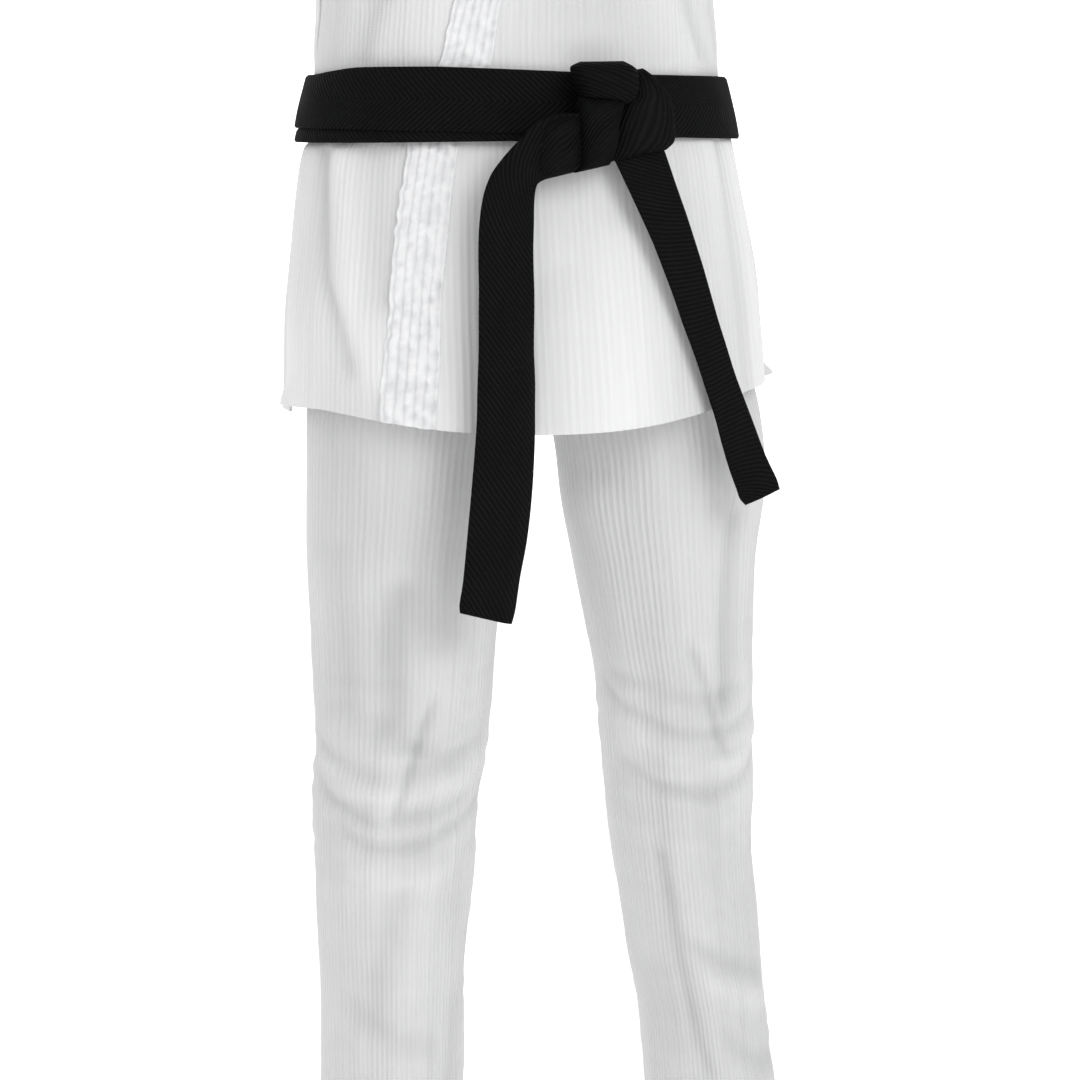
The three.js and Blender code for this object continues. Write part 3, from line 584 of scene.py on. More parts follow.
FRONT_FOLDS = {
    # folds in degrees from the front centre line, for the front that carries the mirror sign
    -1: [([(-24, -75), (-31, -74), (-75, -71.5), (-122, -69), (-157, -63), (-200, -59)], 2.6, -3.2),
         ([(-20, -66), (-80, -62), (-140, -58), (-210, -50)], 4.0, 1.8),
         ([(-20, -54), (-31, -53), (-70, -51), (-118, -50), (-150, -49)], 3.4, -1.9),
         ([(-60, -84), (-240, -82)], 4.5, 1.4),
         ([(120, -44), (73, -58), (40, -62), (20, -64)], 4.0, -2.4),
         ([(160, -70), (60, -76), (20, -78)], 5.0, -1.6)],
    1: [([(-24, 51), (-70, 50), (-115, 49.5), (-185, 50), (-235, 50)], 2.4, -2.4),
        ([(-24, 60), (-110, 58), (-235, 57)], 4.0, 2.2),
        ([(-40, 70), (-140, 71), (-244, 73)], 3.6, -2.6),
        ([(-90, 14), (-160, 13), (-244, 10)], 5.0, 1.2),
        ([(-120, -6), (-180, -8), (-244, -10)], 4.0, -1.2),
        ([(-150, 30), (-244, 28)], 5.0, -1.2),
        ([(150, 36), (70, 44), (47, 49), (24, 54)], 3.4, -2.2),
        ([(120, 62), (70, 66), (24, 70)], 4.5, -2.0),
        ([(90, 20), (24, 24)], 6.0, -1.0),
        ([(170, 12), (120, 6), (60, 4)], 9.0, -1.4)],
}
BACK_FOLDS = [
    ([(-240, -24), (-120, -20), (-30, -12)], 4.5, -3.4),
    ([(-240, 20), (-100, 14), (-30, 8)], 4.5, -3.0),
    ([(-240, 52), (-110, 50), (-30, 46)], 4.0, -2.6),
    ([(-240, -55), (-110, -50), (-30, -44)], 4.0, -2.6),
    ([(24, -10), (80, -16), (150, -26)], 4.0, -3.2),
    ([(24, 16), (90, 24), (170, 34)], 4.0, -3.0),
    ([(24, 46), (80, 52), (150, 60)], 4.5, -2.6),
    ([(24, -48), (90, -54), (160, -60)], 4.5, -2.6),
    ([(60, 2), (180, 4), (300, 2)], 9.0, -1.4),
    ([(230, -44), (330, -20)], 9.0, -1.3),
    ([(220, 46), (320, 26)], 9.0, -1.3),
]


def up_chest(z):
    return np.clip((z - ARMPIT) / (NECK - ARMPIT), 0, 1)


def body_half(z):
    return mix(curve(BODY_HALF, z), SHOULDER_HALF, up_chest(z))


def body_point(side, turn, z, offset):
    """A point of the jacket. side is -1 in front and 1 behind."""
    up = up_chest(z)
    half = body_half(z) + offset
    depth = curve(BODY_DEPTH, z) * np.sqrt(np.maximum(1 - up**2.2, 0)) + offset
    armhole = np.where(up > 0, ARMHOLE_HALF_DEPTH * np.sin(np.pi * up) + offset, 0)
    edge = np.minimum(armhole, depth)
    x = half * np.sin(turn)
    y = side * (edge + (depth - edge) * np.cos(turn))
    slope = SHOULDER_DROP / (SHOULDER_HALF - NECK_HALF)
    return np.stack([x, y, z - up * np.maximum(np.abs(x) - NECK_HALF, 0) * slope], -1)


def lap_offset(mirror, x, z):
    """How far the inner face of the left front stands off the right one beneath it."""
    if mirror < 0:
        return 0.0 * x
    band_edge = -curve(LAPEL_FREE, z)
    lapped = mix(3.0, LAP, ease((x + 70) / 120)) * (1 - ease((x - band_edge) / 42))
    return lapped * (1 - ease((z - 290) / 90))


def to_shoulder_seam(offset, z):
    """Draws the top edges of fronts and back together along the shoulders."""
    return mix(offset, 1.0, ease((z - NECK + 30) / 28))


def left_spread(degrees, z):
    """The skirt stands out a little further on the wearer's left."""
    return 5.4 * ease((degrees - 42) / 26) * ease((-z - 30) / 110)


def front_offset(mirror, turn, z):
    """Offset of a front's outer face, with its folds. turn and z are in the body's own sense."""
    degrees = np.degrees(turn)
    x = body_half(z) * np.sin(turn)
    out = lap_offset(mirror, x, z) + CLOTH
    calm = ease((35 - np.abs(z - 2)) / 12)
    folds = noise(degrees / 15 + 3, z / 85, 21 + mirror) * 1.1
    folds = folds + noise(degrees / 6 + 3, z / 150, 31 + mirror) * 0.45
    for line, width, depth in FRONT_FOLDS[mirror]:
        folds = folds + standing_fold(degrees, z, line, width, depth)
    low_hem = ease((-z - 120) / 120)
    folds = folds + low_hem * 1.4 * np.sin(np.radians(degrees * 7 + 40 * mirror))
    at_armhole = ease((np.abs(degrees) - 72) / 12) * ease((z - ARMPIT + 40) / 30)
    folds = folds * (1 - 0.8 * calm) * (1 - at_armhole)
    start = 62 if mirror > 0 else 76
    flick = ease((np.abs(degrees) - start) / (90 - start)) ** 1.4 * ease((-z - 200) / 26) ** 1.3
    out = out + folds + left_spread(degrees, z) + flick * (18.0 if mirror > 0 else 5.0)
    # the second result is painted shading: darker in the folds' hollows, lighter on their ridges
    return to_shoulder_seam(out, z), folds * FOLD_SHADE


def front_turns(mirror, z, u):
    """The angle across a front panel: u runs from its lapel seam (0) to the side seam (1)."""
    start = np.arcsin(np.clip(curve(LAPEL_SEWN, z) / (body_half(z) + LAP), -1, 1))
    return mix(start, SIDE_SEAM, u)


def panel(mirror, heights, rows, columns):
    """Grid of a front panel. heights(u, v) gives the height for across u and up v."""
    v, u = sheet_grid(rows, columns)
    z = heights(u, v)
    turn = front_turns(mirror, z, u)
    offset, shade = front_offset(mirror, turn * mirror, z)
    points = body_point(-1, turn * mirror, z, offset)
    uv = np.stack([turn * mirror * RIB_RADIUS, z - HEM], -1)
    return outward(mirror, points, uv, shade)


STITCH_ROWS, STITCH_MARGIN, STITCH_DEPTH, STITCH_WIDTH = 6, 3.2, 1.4, 0.9
# (slant, pitch, seed, height) of the puckers between the rows of stitches
PUCKERS = ((0.55, 6.5, 42, 1.0), (-0.3, 4.2, 43, 0.75), (0, 2.8, 44, 0.3))


def quilting(across, along, width):
    """Height of the quilted band: rows of stitches sink, and the cloth puckers between them."""
    height = 0.0 * across
    sewn, gaps = width - 2 * STITCH_MARGIN, STITCH_ROWS - 1
    for row in range(STITCH_ROWS):
        at = STITCH_MARGIN + row * sewn / gaps
        wander = noise(along / 18 + 7 * row, 0 * along, 41) * 0.45
        height = height - STITCH_DEPTH * bell(across - at - wander, STITCH_WIDTH)
    between = across / sewn * gaps
    for slant, pitch, seed, size in PUCKERS:
        height = height + noise(between * 1.1 + 3, (along + slant * across) / pitch, seed) * size
    return height * (0.85 + 0.15 * noise(across / 20, along / 40, 45))


def lapel(mirror, bottom, top, rows):
    """Thickness and grid of a lapel band, from its free edge to its sewn edge."""
    v, u = sheet_grid(rows, 61)
    z = mix(bottom(u), top, v)
    free, sewn = curve(LAPEL_FREE, z), curve(LAPEL_SEWN, z)
    width = float(np.mean(sewn - free)) * 1.12
    scallop = noise(z / 7, 0 * z, 47) * 0.9 * (1 - u) ** 3
    x = mix(free - scallop, sewn, u)
    turn = np.arcsin(np.clip(x / (body_half(z) + LAP), -1, 1))
    edge = np.minimum(u, 1 - u) * width
    roll = 1 - np.sqrt(np.clip(1 - (1 - np.clip(edge / 3.0, 0, 1)) ** 2, 0, 1))
    smooth = front_offset(mirror, turn * mirror, z)[0] - CLOTH
    stand = LAPEL_THICKNESS * (1 - 0.55 * roll) - 1.2 * (1 - u) * (mirror > 0)
    quilt = quilting(u * width, z, width)
    # the right band is pressed flat where the left front lies over it
    pressed = (mirror < 0) * ease((mirror * x - curve(LAPEL_FREE, z)) / 10)
    stand = mix(stand, np.minimum(stand, 2.2), pressed)
    offset = smooth + stand + quilt * ease(edge / 1.5) * (1 - 0.8 * pressed)
    points = body_point(-1, turn * mirror, z, offset)
    uv = np.stack([u * width, z - HEM], -1)
    thickness = np.maximum(LAPEL_THICKNESS * (1 - 0.55 * roll) * 0.75, 0.8)
    # the last grid is painted shading: darker in the stitch grooves, a little lighter on the
    # puckers
    return outward(mirror, thickness, points, uv, np.minimum(quilt, 0.3) * 0.5)


def hem_height(x):
    """The front hem dips in the middle and rises towards the side slits."""
    rise = 14.5 * (np.abs(x + 8) / 150) ** 2 + 4.5 * ease((x - 90) / 90)
    return np.minimum(HEM - 1.5 + rise, -226 + 5.5 * ease((x - 120) / 50))


def panel_hem(mirror, u):
    low = HEM + 0 * u
    return hem_height(mirror * body_half(low) * np.sin(front_turns(mirror, low, u)))


def lapel_hem(mirror, u):
    low = HEM + 0 * u
    return hem_height(mirror * mix(curve(LAPEL_FREE, low), curve(LAPEL_SEWN, low), u))


JACKET_CLOTH = canvas("jacket_canvas", *JACKET_TONES, 0.0054, 0.0005)
SKIRT_CLOTH = canvas("skirt_canvas", *JACKET_TONES, 0.0054, 0.0004)
SLEEVE_CLOTH = canvas("sleeve_canvas", *JACKET_TONES, 0.0050, 0.0008, (0.006, 0.034))
LAPEL_CLOTH = quilted("lapel_quilting", (0.60, 0.605, 0.616), (0.90, 0.902, 0.91))

for side, mirror in (("left", 1), ("right", -1)):
    start, end = ((0, -SKIRT_BLEND_Y, z) for z in SKIRT_BLEND)
    lifted = ("torso", "skirt_front", start, end)

    heights = lambda u, v: mix(UNDER_BELT, NECK, v)
    piece(f"jacket_front_panel_{side}", panel(mirror, heights, 170, 130), CLOTH, JACKET_CLOTH,
          "torso", [f"jacket_front_{side}"], "jacket_canvas",
          flat=(0.33, 0.44), area=0.105, held="hung", rests_on=["belt_outer_turn"])

    heights = lambda u, v: mix(panel_hem(mirror, u), SKIRT_UNDER_BELT, v)
    piece(f"jacket_skirt_front_{side}", panel(mirror, heights, 100, 150), CLOTH, SKIRT_CLOTH,
          lifted, [f"skirt_front_{side}", f"skirt_front_{side}_fold"], "skirt_canvas",
          flat=(0.37, 0.24), held="hung", rests_on=["belt_outer_turn"])

    thick, *grid = lapel(mirror, lambda u: UNDER_BELT, NECK, 420)
    piece(f"lapel_band_{side}", grid, thick, LAPEL_CLOTH, "torso", [f"lapel_{side}"],
          "lapel_quilting",
          flat=(0.044, 0.46), held="stretched", rests_on=[f"jacket_front_panel_{side}"])

    thick, *grid = lapel(mirror, lambda u: lapel_hem(mirror, u), SKIRT_UNDER_BELT, 240)
    piece(f"lapel_band_lower_{side}", grid, thick, LAPEL_CLOTH, lifted,
          [f"lapel_lower_{side}", f"lapel_{side}_fold"], "lapel_quilting",
          flat=(0.040, 0.23), held="hung", rests_on=[f"jacket_skirt_front_{side}"])


def back_top(x):
    return NECK - 16 * np.maximum(1 - (x / NECK_HALF) ** 2, 0)


def back_grid(heights, rows, columns):
    v, u = sheet_grid(rows, columns, -1.0)
    turn = u * SIDE_SEAM
    z = heights(turn, v)
    degrees = np.degrees(turn)
    calm = ease((35 - np.abs(z - 2)) / 12)
    folds = noise(degrees / 15 + 3, z / 80, 51) * 1.4 + noise(degrees / 6, z / 140, 52) * 0.5
    for line, width, depth in BACK_FOLDS:
        folds = folds + standing_fold(degrees, z, line, width, depth)
    folds = folds + ease((-z - 120) / 120) * 2.0 * np.sin(np.radians(degrees * 6))
    at_seam = ease((np.abs(degrees) - 74) / 12)
    folds = folds * (1 - 0.8 * calm) * (1 - at_seam)
    flare = 2.5 * ease((-z - 100) / 100) * (1 - at_seam) - 1.2 * at_seam * (z < 0)
    flare = flare + left_spread(degrees, z)
    points = body_point(1, turn, z, to_shoulder_seam(CLOTH + folds + flare, z))
    uv = np.stack([-turn * RIB_RADIUS, z - HEM], -1)
    # the last grid is painted shading: darker in the folds' hollows, lighter on their ridges
    return outward(-1, points, uv, folds * FOLD_SHADE)


heights = lambda turn, v: mix(UNDER_BELT, back_top(SHOULDER_HALF * np.sin(turn)), v)
piece("jacket_back_panel", back_grid(heights, 170, 200), CLOTH, JACKET_CLOTH, "torso",
      ["jacket_back"], "jacket_canvas",
      flat=(0.52, 0.45), held="hung", rests_on=["belt_outer_turn"])

heights = lambda turn, v: mix(BACK_HEM, SKIRT_UNDER_BELT, v)
start, end = ((0, SKIRT_BLEND_Y, z) for z in SKIRT_BLEND)
piece("jacket_skirt_back", back_grid(heights, 96, 220), CLOTH, SKIRT_CLOTH,
      ("torso", "skirt_back", start, end), ["skirt_back", "skirt_back_fold"], "skirt_canvas",
      flat=(0.56, 0.22), held="hung", rests_on=["belt_outer_turn"])

COLLAR_HEIGHT, COLLAR_LEAN, COLLAR_THICKNESS = 34.0, 7.0, 3.4


def collar_grid(rows, columns):
    v, u = sheet_grid(rows, columns, -1.0)
    x = NECK_HALF * np.sin(u * np.pi / 2)
    z = back_top(x)
    turn = np.arcsin(np.clip(x / body_half(z), -1, 1))
    seat = body_point(1, turn, z, 0.0 * x)
    out = np.stack([x / NECK_HALF, seat[..., 1] / NECK_HALF], -1)
    out = out / np.maximum(np.linalg.norm(out, axis=2, keepdims=True), 1e-9)
    along = np.arcsin(np.clip(x / NECK_HALF, -1, 1)) * NECK_HALF
    stand = 4.0 + quilting(v * COLLAR_HEIGHT, along + 300, COLLAR_HEIGHT) - COLLAR_LEAN * v
    height = z + 0.9 + COLLAR_HEIGHT * v
    points = np.concatenate([seat[..., :2] + out * stand[..., None], height[..., None]], -1)
    uv = np.stack([along, v * COLLAR_HEIGHT], -1)
    return outward(-1, points, uv)


piece("collar_band", collar_grid(40, 180), COLLAR_THICKNESS, LAPEL_CLOTH, "torso", ["collar"],
      "lapel_quilting", flat=(0.21, 0.035), held="stretched", rests_on=["jacket_back_panel"])


# ---------- sleeves ----------

ARM_JOINT = (190.0, 304.0)
SLEEVE_DROP = math.radians(25)
SHOULDER_ZONE, ELBOW, ELBOW_BLEND, CUFF_ALONG = 175.0, 300.0, 65.0, 455.0
SLEEVE_THICKNESS, SLEEVE_COLUMNS, SLEEVE_RIB_RADIUS = 1.8, 160, 62
SLEEVE_SEED = {1: 61, -1: 71}
SLEEVE_HALF_HEIGHT = [(0, 73), (175, 71), (300, 67), (455, 62)]
SLEEVE_HALF_DEPTH = [(0, 54), (175, 53), (300, 50), (455, 46)]
SLEEVE_CREASES = [
    # (distance along at the front, slant, width, depth, place round in degrees, spread)
    (205, 0.5, 7, -3.0, 190, 60), (238, -0.4, 6, -2.2, 170, 60), (286, 0.2, 7, -3.4, 0, 70),
    (304, -0.2, 6, 2.4, 0, 60), (322, 0.3, 7, -3.2, 10, 70), (268, 0.6, 6, -2.0, -40, 50),
    (350, -0.5, 8, -2.4, 30, 60), (390, 0.4, 9, -2.0, -60, 60), (150, 0.8, 9, -3.0, -60, 50),
]


def sleeve_offset(mirror, around, along):
    degrees, seed = np.degrees(around), SLEEVE_SEED[mirror]
    out = noise(degrees / 30 + 4, along / 45, seed) * 1.8
    out = out + noise(degrees / 12, along / 70, seed + 1) * 0.6
    for at, slant, width, depth, place, spread in SLEEVE_CREASES:
        away = (degrees - place + 180) % 360 - 180
        out = out + depth * bell(along - at - slant * away * 0.5, width) * bell(away, spread)
    return out


def sleeve_point(mirror, around, along, offset):
    """around is 0 in front and 90 degrees at the top of the arm."""
    up = (curve(SLEEVE_HALF_HEIGHT, along) + offset) * np.sin(around)
    x = ARM_JOINT[0] + along * math.cos(SLEEVE_DROP) + up * math.sin(SLEEVE_DROP)
    y = -(curve(SLEEVE_HALF_DEPTH, along) + offset) * np.cos(around)
    z = ARM_JOINT[1] - along * math.sin(SLEEVE_DROP) + up * math.cos(SLEEVE_DROP)
    return np.stack([mirror * x, y, z], -1)


def armhole_point(mirror, around, offset):
    """The armhole's ring, on the side edges of the jacket's front and back."""
    up = (np.sin(around) + 1) / 2
    side = np.where(np.cos(around) > 0, -1.0, 1.0)
    points = body_point(side, mirror * np.pi / 2, mix(ARMPIT, NECK, up), offset)
    points[..., 0] -= mirror * 1.5
    return points


def sleeve_grid(mirror, start, end, rows, inset=0.0):
    """Rows run from the cuff's end of the arm to the shoulder's, columns round it."""
    around, along = ring_grid(rows, SLEEVE_COLUMNS, start, end, 0)
    points = sleeve_point(mirror, around, along, sleeve_offset(mirror, around, along) + inset)
    uv = ring_uv(SLEEVE_COLUMNS, SLEEVE_RIB_RADIUS, CUFF_ALONG - along[:, 0])
    return [grid[::-1] for grid in outward(mirror, points, uv)]


def along_arm(mirror, distance):
    x = ARM_JOINT[0] + distance * math.cos(SLEEVE_DROP)
    return (mirror * x * MM, 0, (ARM_JOINT[1] - distance * math.sin(SLEEVE_DROP)) * MM)


for side, mirror in (("left", 1), ("right", -1)):
    start, end = (along_arm(mirror, ELBOW + way * ELBOW_BLEND) for way in (-1, 1))
    elbow = (f"sleeve_{side}", f"forearm_{side}", start, end)
    piece(f"sleeve_tube_{side}", sleeve_grid(mirror, SHOULDER_ZONE, CUFF_ALONG, 120),
          SLEEVE_THICKNESS, SLEEVE_CLOTH, elbow,
          [f"sleeve_{part}_{side}" for part in ("upper", "elbow", "fore")], "sleeve_canvas", True,
          flat=(0.38, 0.28), held="hung", rests_on=[f"sleeve_head_{side}"])

    grid = sleeve_grid(mirror, CUFF_ALONG - 37, CUFF_ALONG - 1.5, 12, -2.2)
    piece(f"sleeve_hem_facing_{side}", grid, 1.3, JACKET_CLOTH, f"forearm_{side}",
          [f"sleeve_facing_{side}"], "facing_canvas", True,
          flat=(0.34, 0.036), held="folded", rests_on=[f"sleeve_tube_{side}"])

    around, v = ring_grid(90, SLEEVE_COLUMNS, 0, 1, 0)
    creases = sleeve_offset(mirror, around, SHOULDER_ZONE * v - 0.6)
    end_ring = sleeve_point(mirror, around, SHOULDER_ZONE + 0 * v, creases)
    points = mix(armhole_point(mirror, around, CLOTH + 0.2), end_ring, v[..., None])
    uv = ring_uv(SLEEVE_COLUMNS, SLEEVE_RIB_RADIUS, 280 + (1 - v[:, 0]) * 190)
    grid = [part[::-1] for part in outward(mirror, points, uv)]
    shoulder = ("torso", f"sleeve_{side}", along_arm(mirror, 20), along_arm(mirror, 170))
    piece(f"sleeve_head_cloth_{side}", grid, SLEEVE_THICKNESS, JACKET_CLOTH, shoulder,
          [f"sleeve_head_{side}"], "sleeve_canvas", True,
          flat=(0.42, 0.18), held="hung", rests_on=[f"jacket_front_panel_{side}"])


# ---------- belt ----------

BELT_THICKNESS, BELT_WIDTH, WRAP_COLUMNS = 3.4, 47, 420
WAIST_HALF, WAIST_DEPTH, WAIST_RIB_RADIUS = 159, 102, 150
WRAP_COTTON = belt_cotton("belt_wrap_cotton", 1.0, 0.0042, herringbone=True)
INNER_COTTON = belt_cotton("belt_inner_cotton", 1.0, 0.0042)
LONG_COTTON = belt_cotton("belt_long_end_cotton", -1.4, 0.0056)
SHORT_COTTON = belt_cotton("belt_short_end_cotton", -0.62, 0.0036)
KNOT_RIBS = belt_cotton("belt_knot_cotton", 0.0, 0.0026, depth=0.0008)


def flatten_edges(v, width, radius, thickness):
    """How far a strap's faces draw in towards its edges, v being 0 to 1 across it."""
    edge = np.clip(np.minimum(v, 1 - v) * width / radius, 0, 1)
    return thickness / 2 * (1 - np.sqrt(1 - (1 - edge) ** 2)) * 0.8


def belt_turn(bottom, top, offset, flare, seed, over=None):
    """One turn round the waist. bottom and top give the height of its edges for each x, and
    flare is how far it stands out from its top edge to its bottom edge. Below the lower edge
    of the turn over it, the cloth rolls out flush with that turn."""
    turn, v = ring_grid(26, WRAP_COLUMNS, 0, 1)
    x = 160 * np.sin(turn)
    z = mix(bottom(x), top(x, np.cos(turn) < 0), v)
    draw = flatten_edges(v, BELT_WIDTH, 2.2, BELT_THICKNESS)
    wave = noise(np.degrees(turn) / 16, v * 1.5, seed) * 0.7
    lean = (0.5 - v) * flare + 1.2 * np.sin(np.pi * v)
    if over:
        lean = lean + 1.4 * ease((over(x) - z) / 2.0)
    half = WAIST_HALF + offset + lean + wave - draw
    depth = WAIST_DEPTH + offset + lean * 0.35 + wave - draw
    points = np.stack([half * np.sin(turn), -depth * np.cos(turn), z], -1)
    uv = ring_uv(WRAP_COLUMNS, WAIST_RIB_RADIUS, (v[:, 0] - 0.5) * BELT_WIDTH)
    return BELT_THICKNESS - 2 * draw, points, uv


OUTER_TOP = [(-162, 25), (-154, 28), (-138, 30.5), (-100, 30), (-60, 27.9), (0, 24.4), (40, 22.2),
             (100, 20.3), (162, 18.8)]


def outer_bottom(x):
    return -22.4 - 0.050 * x


def outer_top(x, behind):
    return np.where(behind, 25.8 - 0.0216 * (x + 160), curve(OUTER_TOP, x))


def inner_bottom(x):
    return -26.2 - 0.006 * x


def inner_top(x, behind):
    return 14.5 - 0.01 * x


thick, *grid = belt_turn(inner_bottom, inner_top, 13.9, 14.0, 81, outer_bottom)
piece("belt_inner_wrap", grid, thick, INNER_COTTON, "torso", ["belt_inner_turn"],
      "belt_inner_turn", True,
      flat=(1.0, 0.046), area=0.0459, held="stretched", rests_on=["jacket_front_panel_left"])

thick, *grid = belt_turn(outer_bottom, outer_top, 16.6, 10.5, 82)
piece("belt_outer_wrap", grid, thick, WRAP_COTTON, "torso", ["belt_outer_turn"],
      "belt_outer_turn", True,
      flat=(1.0, 0.047), area=0.0469, held="stretched", rests_on=["belt_inner_wrap"])


def strap(lines, face, seed, puff, cut, rows=360, columns=25):
    """A strap between two edges, cut in two. lines are rows of left x, left z, right x and
    right z, from its beginning to its tip. face gives y, and cut is the height of the seam."""
    lines = np.array(lines, float)
    knots = np.arange(len(lines), dtype=float)
    s = np.linspace(0, knots[-1], rows)
    smooth = [curve(list(zip(knots, lines[:, k])), s) for k in range(4)]
    v, u = np.meshgrid(np.arange(rows), np.linspace(0, 1, columns), indexing="ij")
    lx, lz, rx, rz = (c[v] for c in smooth)
    x, z = mix(lx, rx, u), mix(lz, rz, u)
    middle = np.stack([(smooth[0] + smooth[2]) / 2, (smooth[1] + smooth[3]) / 2], -1)
    along = np.concatenate([[0], np.cumsum(np.linalg.norm(np.diff(middle, axis=0), axis=1))])
    width = np.hypot(rx - lx, rz - lz)
    tip = np.clip((along[-1] - along[v]) / 2.4, 0, 1)
    draw = flatten_edges(u, BELT_WIDTH, 2.4, BELT_THICKNESS)
    draw = np.maximum(draw, BELT_THICKNESS / 2 * 0.8 * (1 - np.sqrt(1 - (1 - tip) ** 2)))
    y = face(s[v], u, x, z) - BELT_THICKNESS / 2 + draw
    y = y - puff * np.sin(np.pi * u) ** 0.8 + noise(u * 2.2, along[v] / 24, seed) * 0.6
    points = np.stack([x, y, z], -1)
    uv = np.stack([along[v], (u - 0.5) * width], -1)
    thick = BELT_THICKNESS - 2 * draw
    seam = int(np.argmin(np.abs(middle[:, 1] - cut)))
    parts = (slice(0, seam + 1), slice(seam, rows))
    return [[grid[part][::-1] for grid in (thick, points, uv)] for part in parts]


LONG_LINES = [
    (2, -6, 2, -46), (-13, -6, -9, -48.5), (-25, -7.5, -19, -51), (-36.5, -12.5, -28, -53),
    (-46.5, -20.5, -34, -55), (-56, -29, -37.5, -57.5), (-65.5, -39, -38.8, -62),
    (-73.7, -50.5, -39.3, -70), (-79, -66, -39.5, -84), (-82.3, -90, -39.8, -98),
    (-83.3, -112, -40, -114), (-84.2, -140, -40.1, -140), (-85.8, -175, -40.3, -175),
    (-87.8, -206, -40.3, -206), (-89.4, -237, -40.8, -239), (-92.6, -270, -42.2, -268),
    (-96.7, -304, -44.8, -296), (-99.9, -331, -49, -325), (-103, -354, -55, -353),
    (-105.6, -370, -59.5, -378), (-105.3, -374.5, -62.5, -387.5),
]
KNOT_FRONT = -141.0


def long_face(s, u, x, z):
    hang = -mix(126.0, 133.0, ease((-z - 60) / 150))
    body = mix(KNOT_FRONT, hang - 7, ease((s - 4) / 7))
    curl = 36 * np.clip(u - 0.72, 0, 1) ** 1.5 * ease((-z - 130) / 60)
    return body + curl


SHORT_LINES = [
    (20, -26, 62, -20), (27, -41, 67, -33.5), (43.5, -76, 77.5, -64), (61, -114, 88, -94),
    (79, -158, 102, -134), (96.5, -202, 116, -173), (110, -240, 130, -208), (121, -275, 146, -244),
    (129, -298, 160, -277), (132, -306, 169, -295), (137, -311.5, 171.5, -302.5),
]


def short_face(s, u, x, z):
    hang = curve([(-320, -121), (-300, -121), (-173, -127), (-96, -132), (-30, -133)], z)
    return hang + 10 * u * ease((-z - 120) / 150) + mix(1.5, -2, ease((s - 0.5) / 2.5))


# (which end, part of it, bodies, start and end of the blend, flat size, what it rests on)
END_PIECES = [
    ("long", "upper", ("torso", "skirt_front"), (0, -0.065, -0.045), (0, -0.065, -0.094),
     (0.048, 0.13), "knot_centre"),
    ("long", "lower", ("skirt_front", "belt_end_long"), (0, -0.14, -0.108), (0, -0.14, -0.124),
     (0.048, 0.27), "belt_long_end_upper"),
    ("short", "upper", ("torso", "skirt_front"), (0, -0.065, -0.045), (0, -0.065, -0.094),
     (0.042, 0.08), "knot_lobe_outer"),
    ("short", "lower", ("skirt_front", "belt_end_short"), (0.078, -0.124, -0.100),
     (0.078, -0.124, -0.118), (0.044, 0.22), "belt_short_end_upper"),
]
END_COTTON = {"long": LONG_COTTON, "short": SHORT_COTTON}
straps = {"long": strap(LONG_LINES, long_face, 91, 2.0, -106),
          "short": strap(SHORT_LINES, short_face, 93, 1.0, -98)}
for which, part, bodies, start, end, flat, rests in END_PIECES:
    thick, *grid = straps[which][0 if part == "upper" else 1]
    slot = f"belt_end_{which}"
    node = slot + "_top" if part == "upper" else slot
    piece(f"belt_{which}_end_{part}", grid, thick, END_COTTON[which], (*bodies, start, end),
          [node], slot, flat=flat, held="hung", rests_on=[rests])

KNOT_ROWS, KNOT_COLUMNS, KNOT_BACK = 100, 190, -119.5
KNOT_RIB_PITCH, KNOT_RIB_DEPTH, KNOT_CLOTH = 2.6, 0.42, 1.2


def knot_grid(edges, front, twist, across_ribs):
    """A lobe of the knot: the belt folded lengthways into a flattened roll with soft ribs.
    edges are the left and right outline as (x, z) rows from top to bottom, and front is the
    roll's foremost y. The ribs run up the lobe, turned by twist, or across it."""
    t = np.linspace(0, 1, KNOT_ROWS)
    smooth = []
    for line in edges:
        at = np.linspace(0, 1, len(line))
        smooth += [curve([(a, p[k]) for a, p in zip(at, line)], t) for k in (0, 1)]
    lx, lz, rx, rz = smooth
    round_roll, up = ring_grid(KNOT_ROWS, KNOT_COLUMNS, 0, 1)
    v = np.broadcast_to(np.arange(KNOT_ROWS)[:, None], up.shape)
    across = np.sign(np.sin(round_roll)) * np.abs(np.sin(round_roll)) ** 0.75
    depth = np.sign(np.cos(round_roll)) * np.abs(np.cos(round_roll)) ** 0.6
    share = 0.5 + 0.5 * across
    x, z = mix(lx[v], rx[v], share), mix(lz[v], rz[v], share)
    width = float(np.mean(np.hypot(rx - lx, rz - lz)))
    tall = float(abs(lz[0] - lz[-1]))
    closing = np.clip(1 - np.abs(2 * up - 1) ** 3.2, 0, 1) ** 0.45
    if across_ribs:
        place = up * tall - 0.25 * share * width
    else:
        place = round_roll / np.pi * width + twist * up * width
    ribs = np.sin(place * 2 * np.pi / KNOT_RIB_PITCH) * KNOT_RIB_DEPTH
    ribs = ribs + noise(place / 2.2, up * 3, 95) * KNOT_RIB_DEPTH * 0.8
    middle = (front + KNOT_BACK) / 2
    reach = np.where(depth > 0, middle - front + ribs, KNOT_BACK - middle)
    points = np.stack([x, middle - depth * closing * reach, z], -1)
    around = np.concatenate([place, place[:, :1] + (0 if across_ribs else 2 * width)], 1)
    uv = np.stack([around, np.broadcast_to(t[:, None] * 50, around.shape)], -1)
    # painted shading: lighter on the roll's front and rib crests, darker at its back and in the rib
    # grooves
    shade = np.maximum(depth, 0) * closing * 0.7 - 0.6 + ribs * 0.35
    return points[::-1], uv[::-1], shade[::-1]


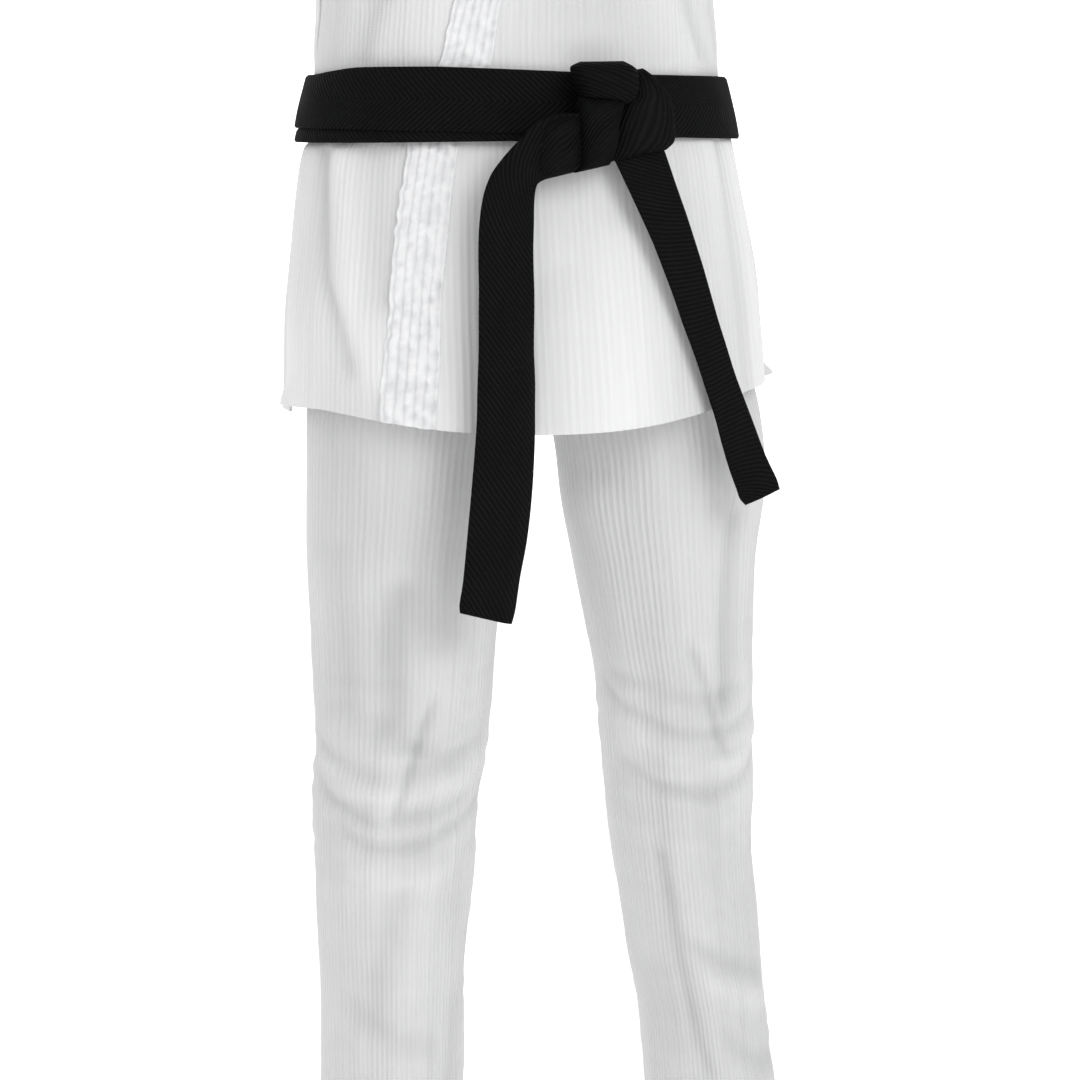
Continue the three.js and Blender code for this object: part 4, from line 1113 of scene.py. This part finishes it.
# (name, outline, front, twist, whether the ribs run across, the nodes it replaces)
LOBES = [
    ("knot_centre", ([(-3, 6), (-4, -4), (-4, -20), (-4, -38), (-7, -50)],
                     [(34, 5), (30, -2), (26, -14), (24, -30), (20, -45)]),
     -157, 1.3, False, ["knot_wrap"]),
    ("knot_top", ([(-1, 31.5), (-7, 27), (-4.5, 18), (-1.5, 9), (0, 3)],
                  [(33, 31.5), (42, 24), (43, 12), (39, 3), (32, -2)]),
     -155, 0.0, True, []),
    ("knot_lobe_outer", ([(38, 24), (38, 8), (31, -2), (25, -18), (20.5, -43)],
                         [(50, 26), (61, 16), (70, 4), (73.8, -14), (74, -27), (68, -35)]),
     -148, 0.15, False, ["knot_lobe_left"]),
    ("knot_lobe_inner", ([(-17, -7), (-30, -13), (-37, -27), (-39.5, -43), (-38.5, -56)],
                         [(-2, -6), (-2, -19), (-3, -35), (-5, -49.5)]),
     -149, 0.9, False, ["knot_lobe_right"]),
]
for name, edges, front, twist, across_ribs, nodes in LOBES:
    piece(name, knot_grid(edges, front, twist, across_ribs), KNOT_CLOTH, KNOT_RIBS, "torso",
          nodes, "belt_knot", True,
          flat=(0.048, 0.11), held="folded", rests_on=["belt_outer_wrap"])


# ---------- waistband, seat and gusset ----------

SEAT_HALF = [(-236, 172), (-217, 172), (-180, 171.5), (-120, 169), (-60, 162), (-29, 156),
             (-8, 155), (30, 155)]
SEAT_DEPTH = [(-236, 105), (-217, 105), (-180, 105), (-120, 103), (-60, 97), (-29, 95),
              (-8, 94.5), (30, 94.5)]
WAISTBAND_LOW, WAISTBAND_HIGH, WAISTBAND_COLUMNS, WAISTBAND_RADIUS = -8, 30, 300, 126
SEAT_THICKNESS, SEAT_RADIUS, SEAT_SEAM = 1.8, 140, 0.003

turn, z = ring_grid(20, WAISTBAND_COLUMNS, WAISTBAND_LOW, WAISTBAND_HIGH)
gather = noise(np.degrees(turn) / 6, z / 30, 101) * 0.7 * (np.abs(turn) > 0.35)
gather = np.sin(turn * 46) * 0.5 + gather
points = np.stack([(155 + gather) * np.sin(turn), -(94.3 + gather) * np.cos(turn), z], -1)
heights = np.linspace(0, WAISTBAND_HIGH - WAISTBAND_LOW, 20)
uv = ring_uv(WAISTBAND_COLUMNS, WAISTBAND_RADIUS, heights)
piece("trouser_waistband_cloth", (points, uv), 2.4, WAISTBAND_CLOTH, "torso",
      ["trouser_waistband"], "waistband_canvas", True,
      flat=(0.86, 0.04), held="gathered", rests_on=["jacket_back_panel"])

for side, mirror in (("left", 1), ("right", -1)):
    heights = np.linspace(CROTCH + 1, WAISTBAND_LOW - 0.5, 70)
    z, u = np.meshgrid(heights, np.linspace(0, 1, 130), indexing="ij")
    turn = mirror * mix(SEAT_SEAM, np.pi - SEAT_SEAM, u)
    ripples = noise(np.degrees(turn) / 10, z / 60, 103) * 1.2
    half, depth = curve(SEAT_HALF, z) + ripples, curve(SEAT_DEPTH, z) + ripples
    points = np.stack([half * np.sin(turn), -depth * np.cos(turn), z], -1)
    grid = outward(mirror, points, np.stack([turn * SEAT_RADIUS, z + 900], -1))
    piece(f"trouser_seat_cloth_{side}", grid, SEAT_THICKNESS, SEAT_CLOTH, "torso",
          [f"trouser_seat_{side}"], "trouser_seat_canvas",
          flat=(0.44, 0.21), held="hung", rests_on=["trouser_waistband_cloth"])

low, high = (np.array(c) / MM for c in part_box("crotch_gusset"))
v, u = sheet_grid(60, 12)
sag = -3.0 * np.sin(np.pi * v) * np.sin(np.pi * u)
points = np.stack([mix(low[0], high[0], u), mix(high[1], low[1], v), high[2] + sag * 0.5], -1)
uv = np.stack([u * (high[0] - low[0]), v * (high[1] - low[1])], -1)
piece("crotch_gusset_cloth", (points[::-1], uv), SEAT_THICKNESS, SEAT_CLOTH, "torso",
      ["crotch_gusset"], "trouser_seat_canvas", flat=(float(high[0] - low[0]) * MM, 0.216),
      held="stretched", rests_on=["trouser_seat_cloth_left"])

metal = Nodes("eyelet_nickel")
scratches = metal.noise(700.0, 120.0, 3.0)
metal.colour(scratches, (0.50, 0.51, 0.53), (0.66, 0.67, 0.69))
metal.roughness(scratches, 0.25, 0.42)
metal.shader.inputs["Metallic"].default_value = 1.0
for side in ("left", "right"):
    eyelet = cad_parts[f"drawstring_eyelet_{side}"]
    eyelet.data.materials.clear()
    eyelet.data.materials.append(metal.material)

add_camera()
add_stage()
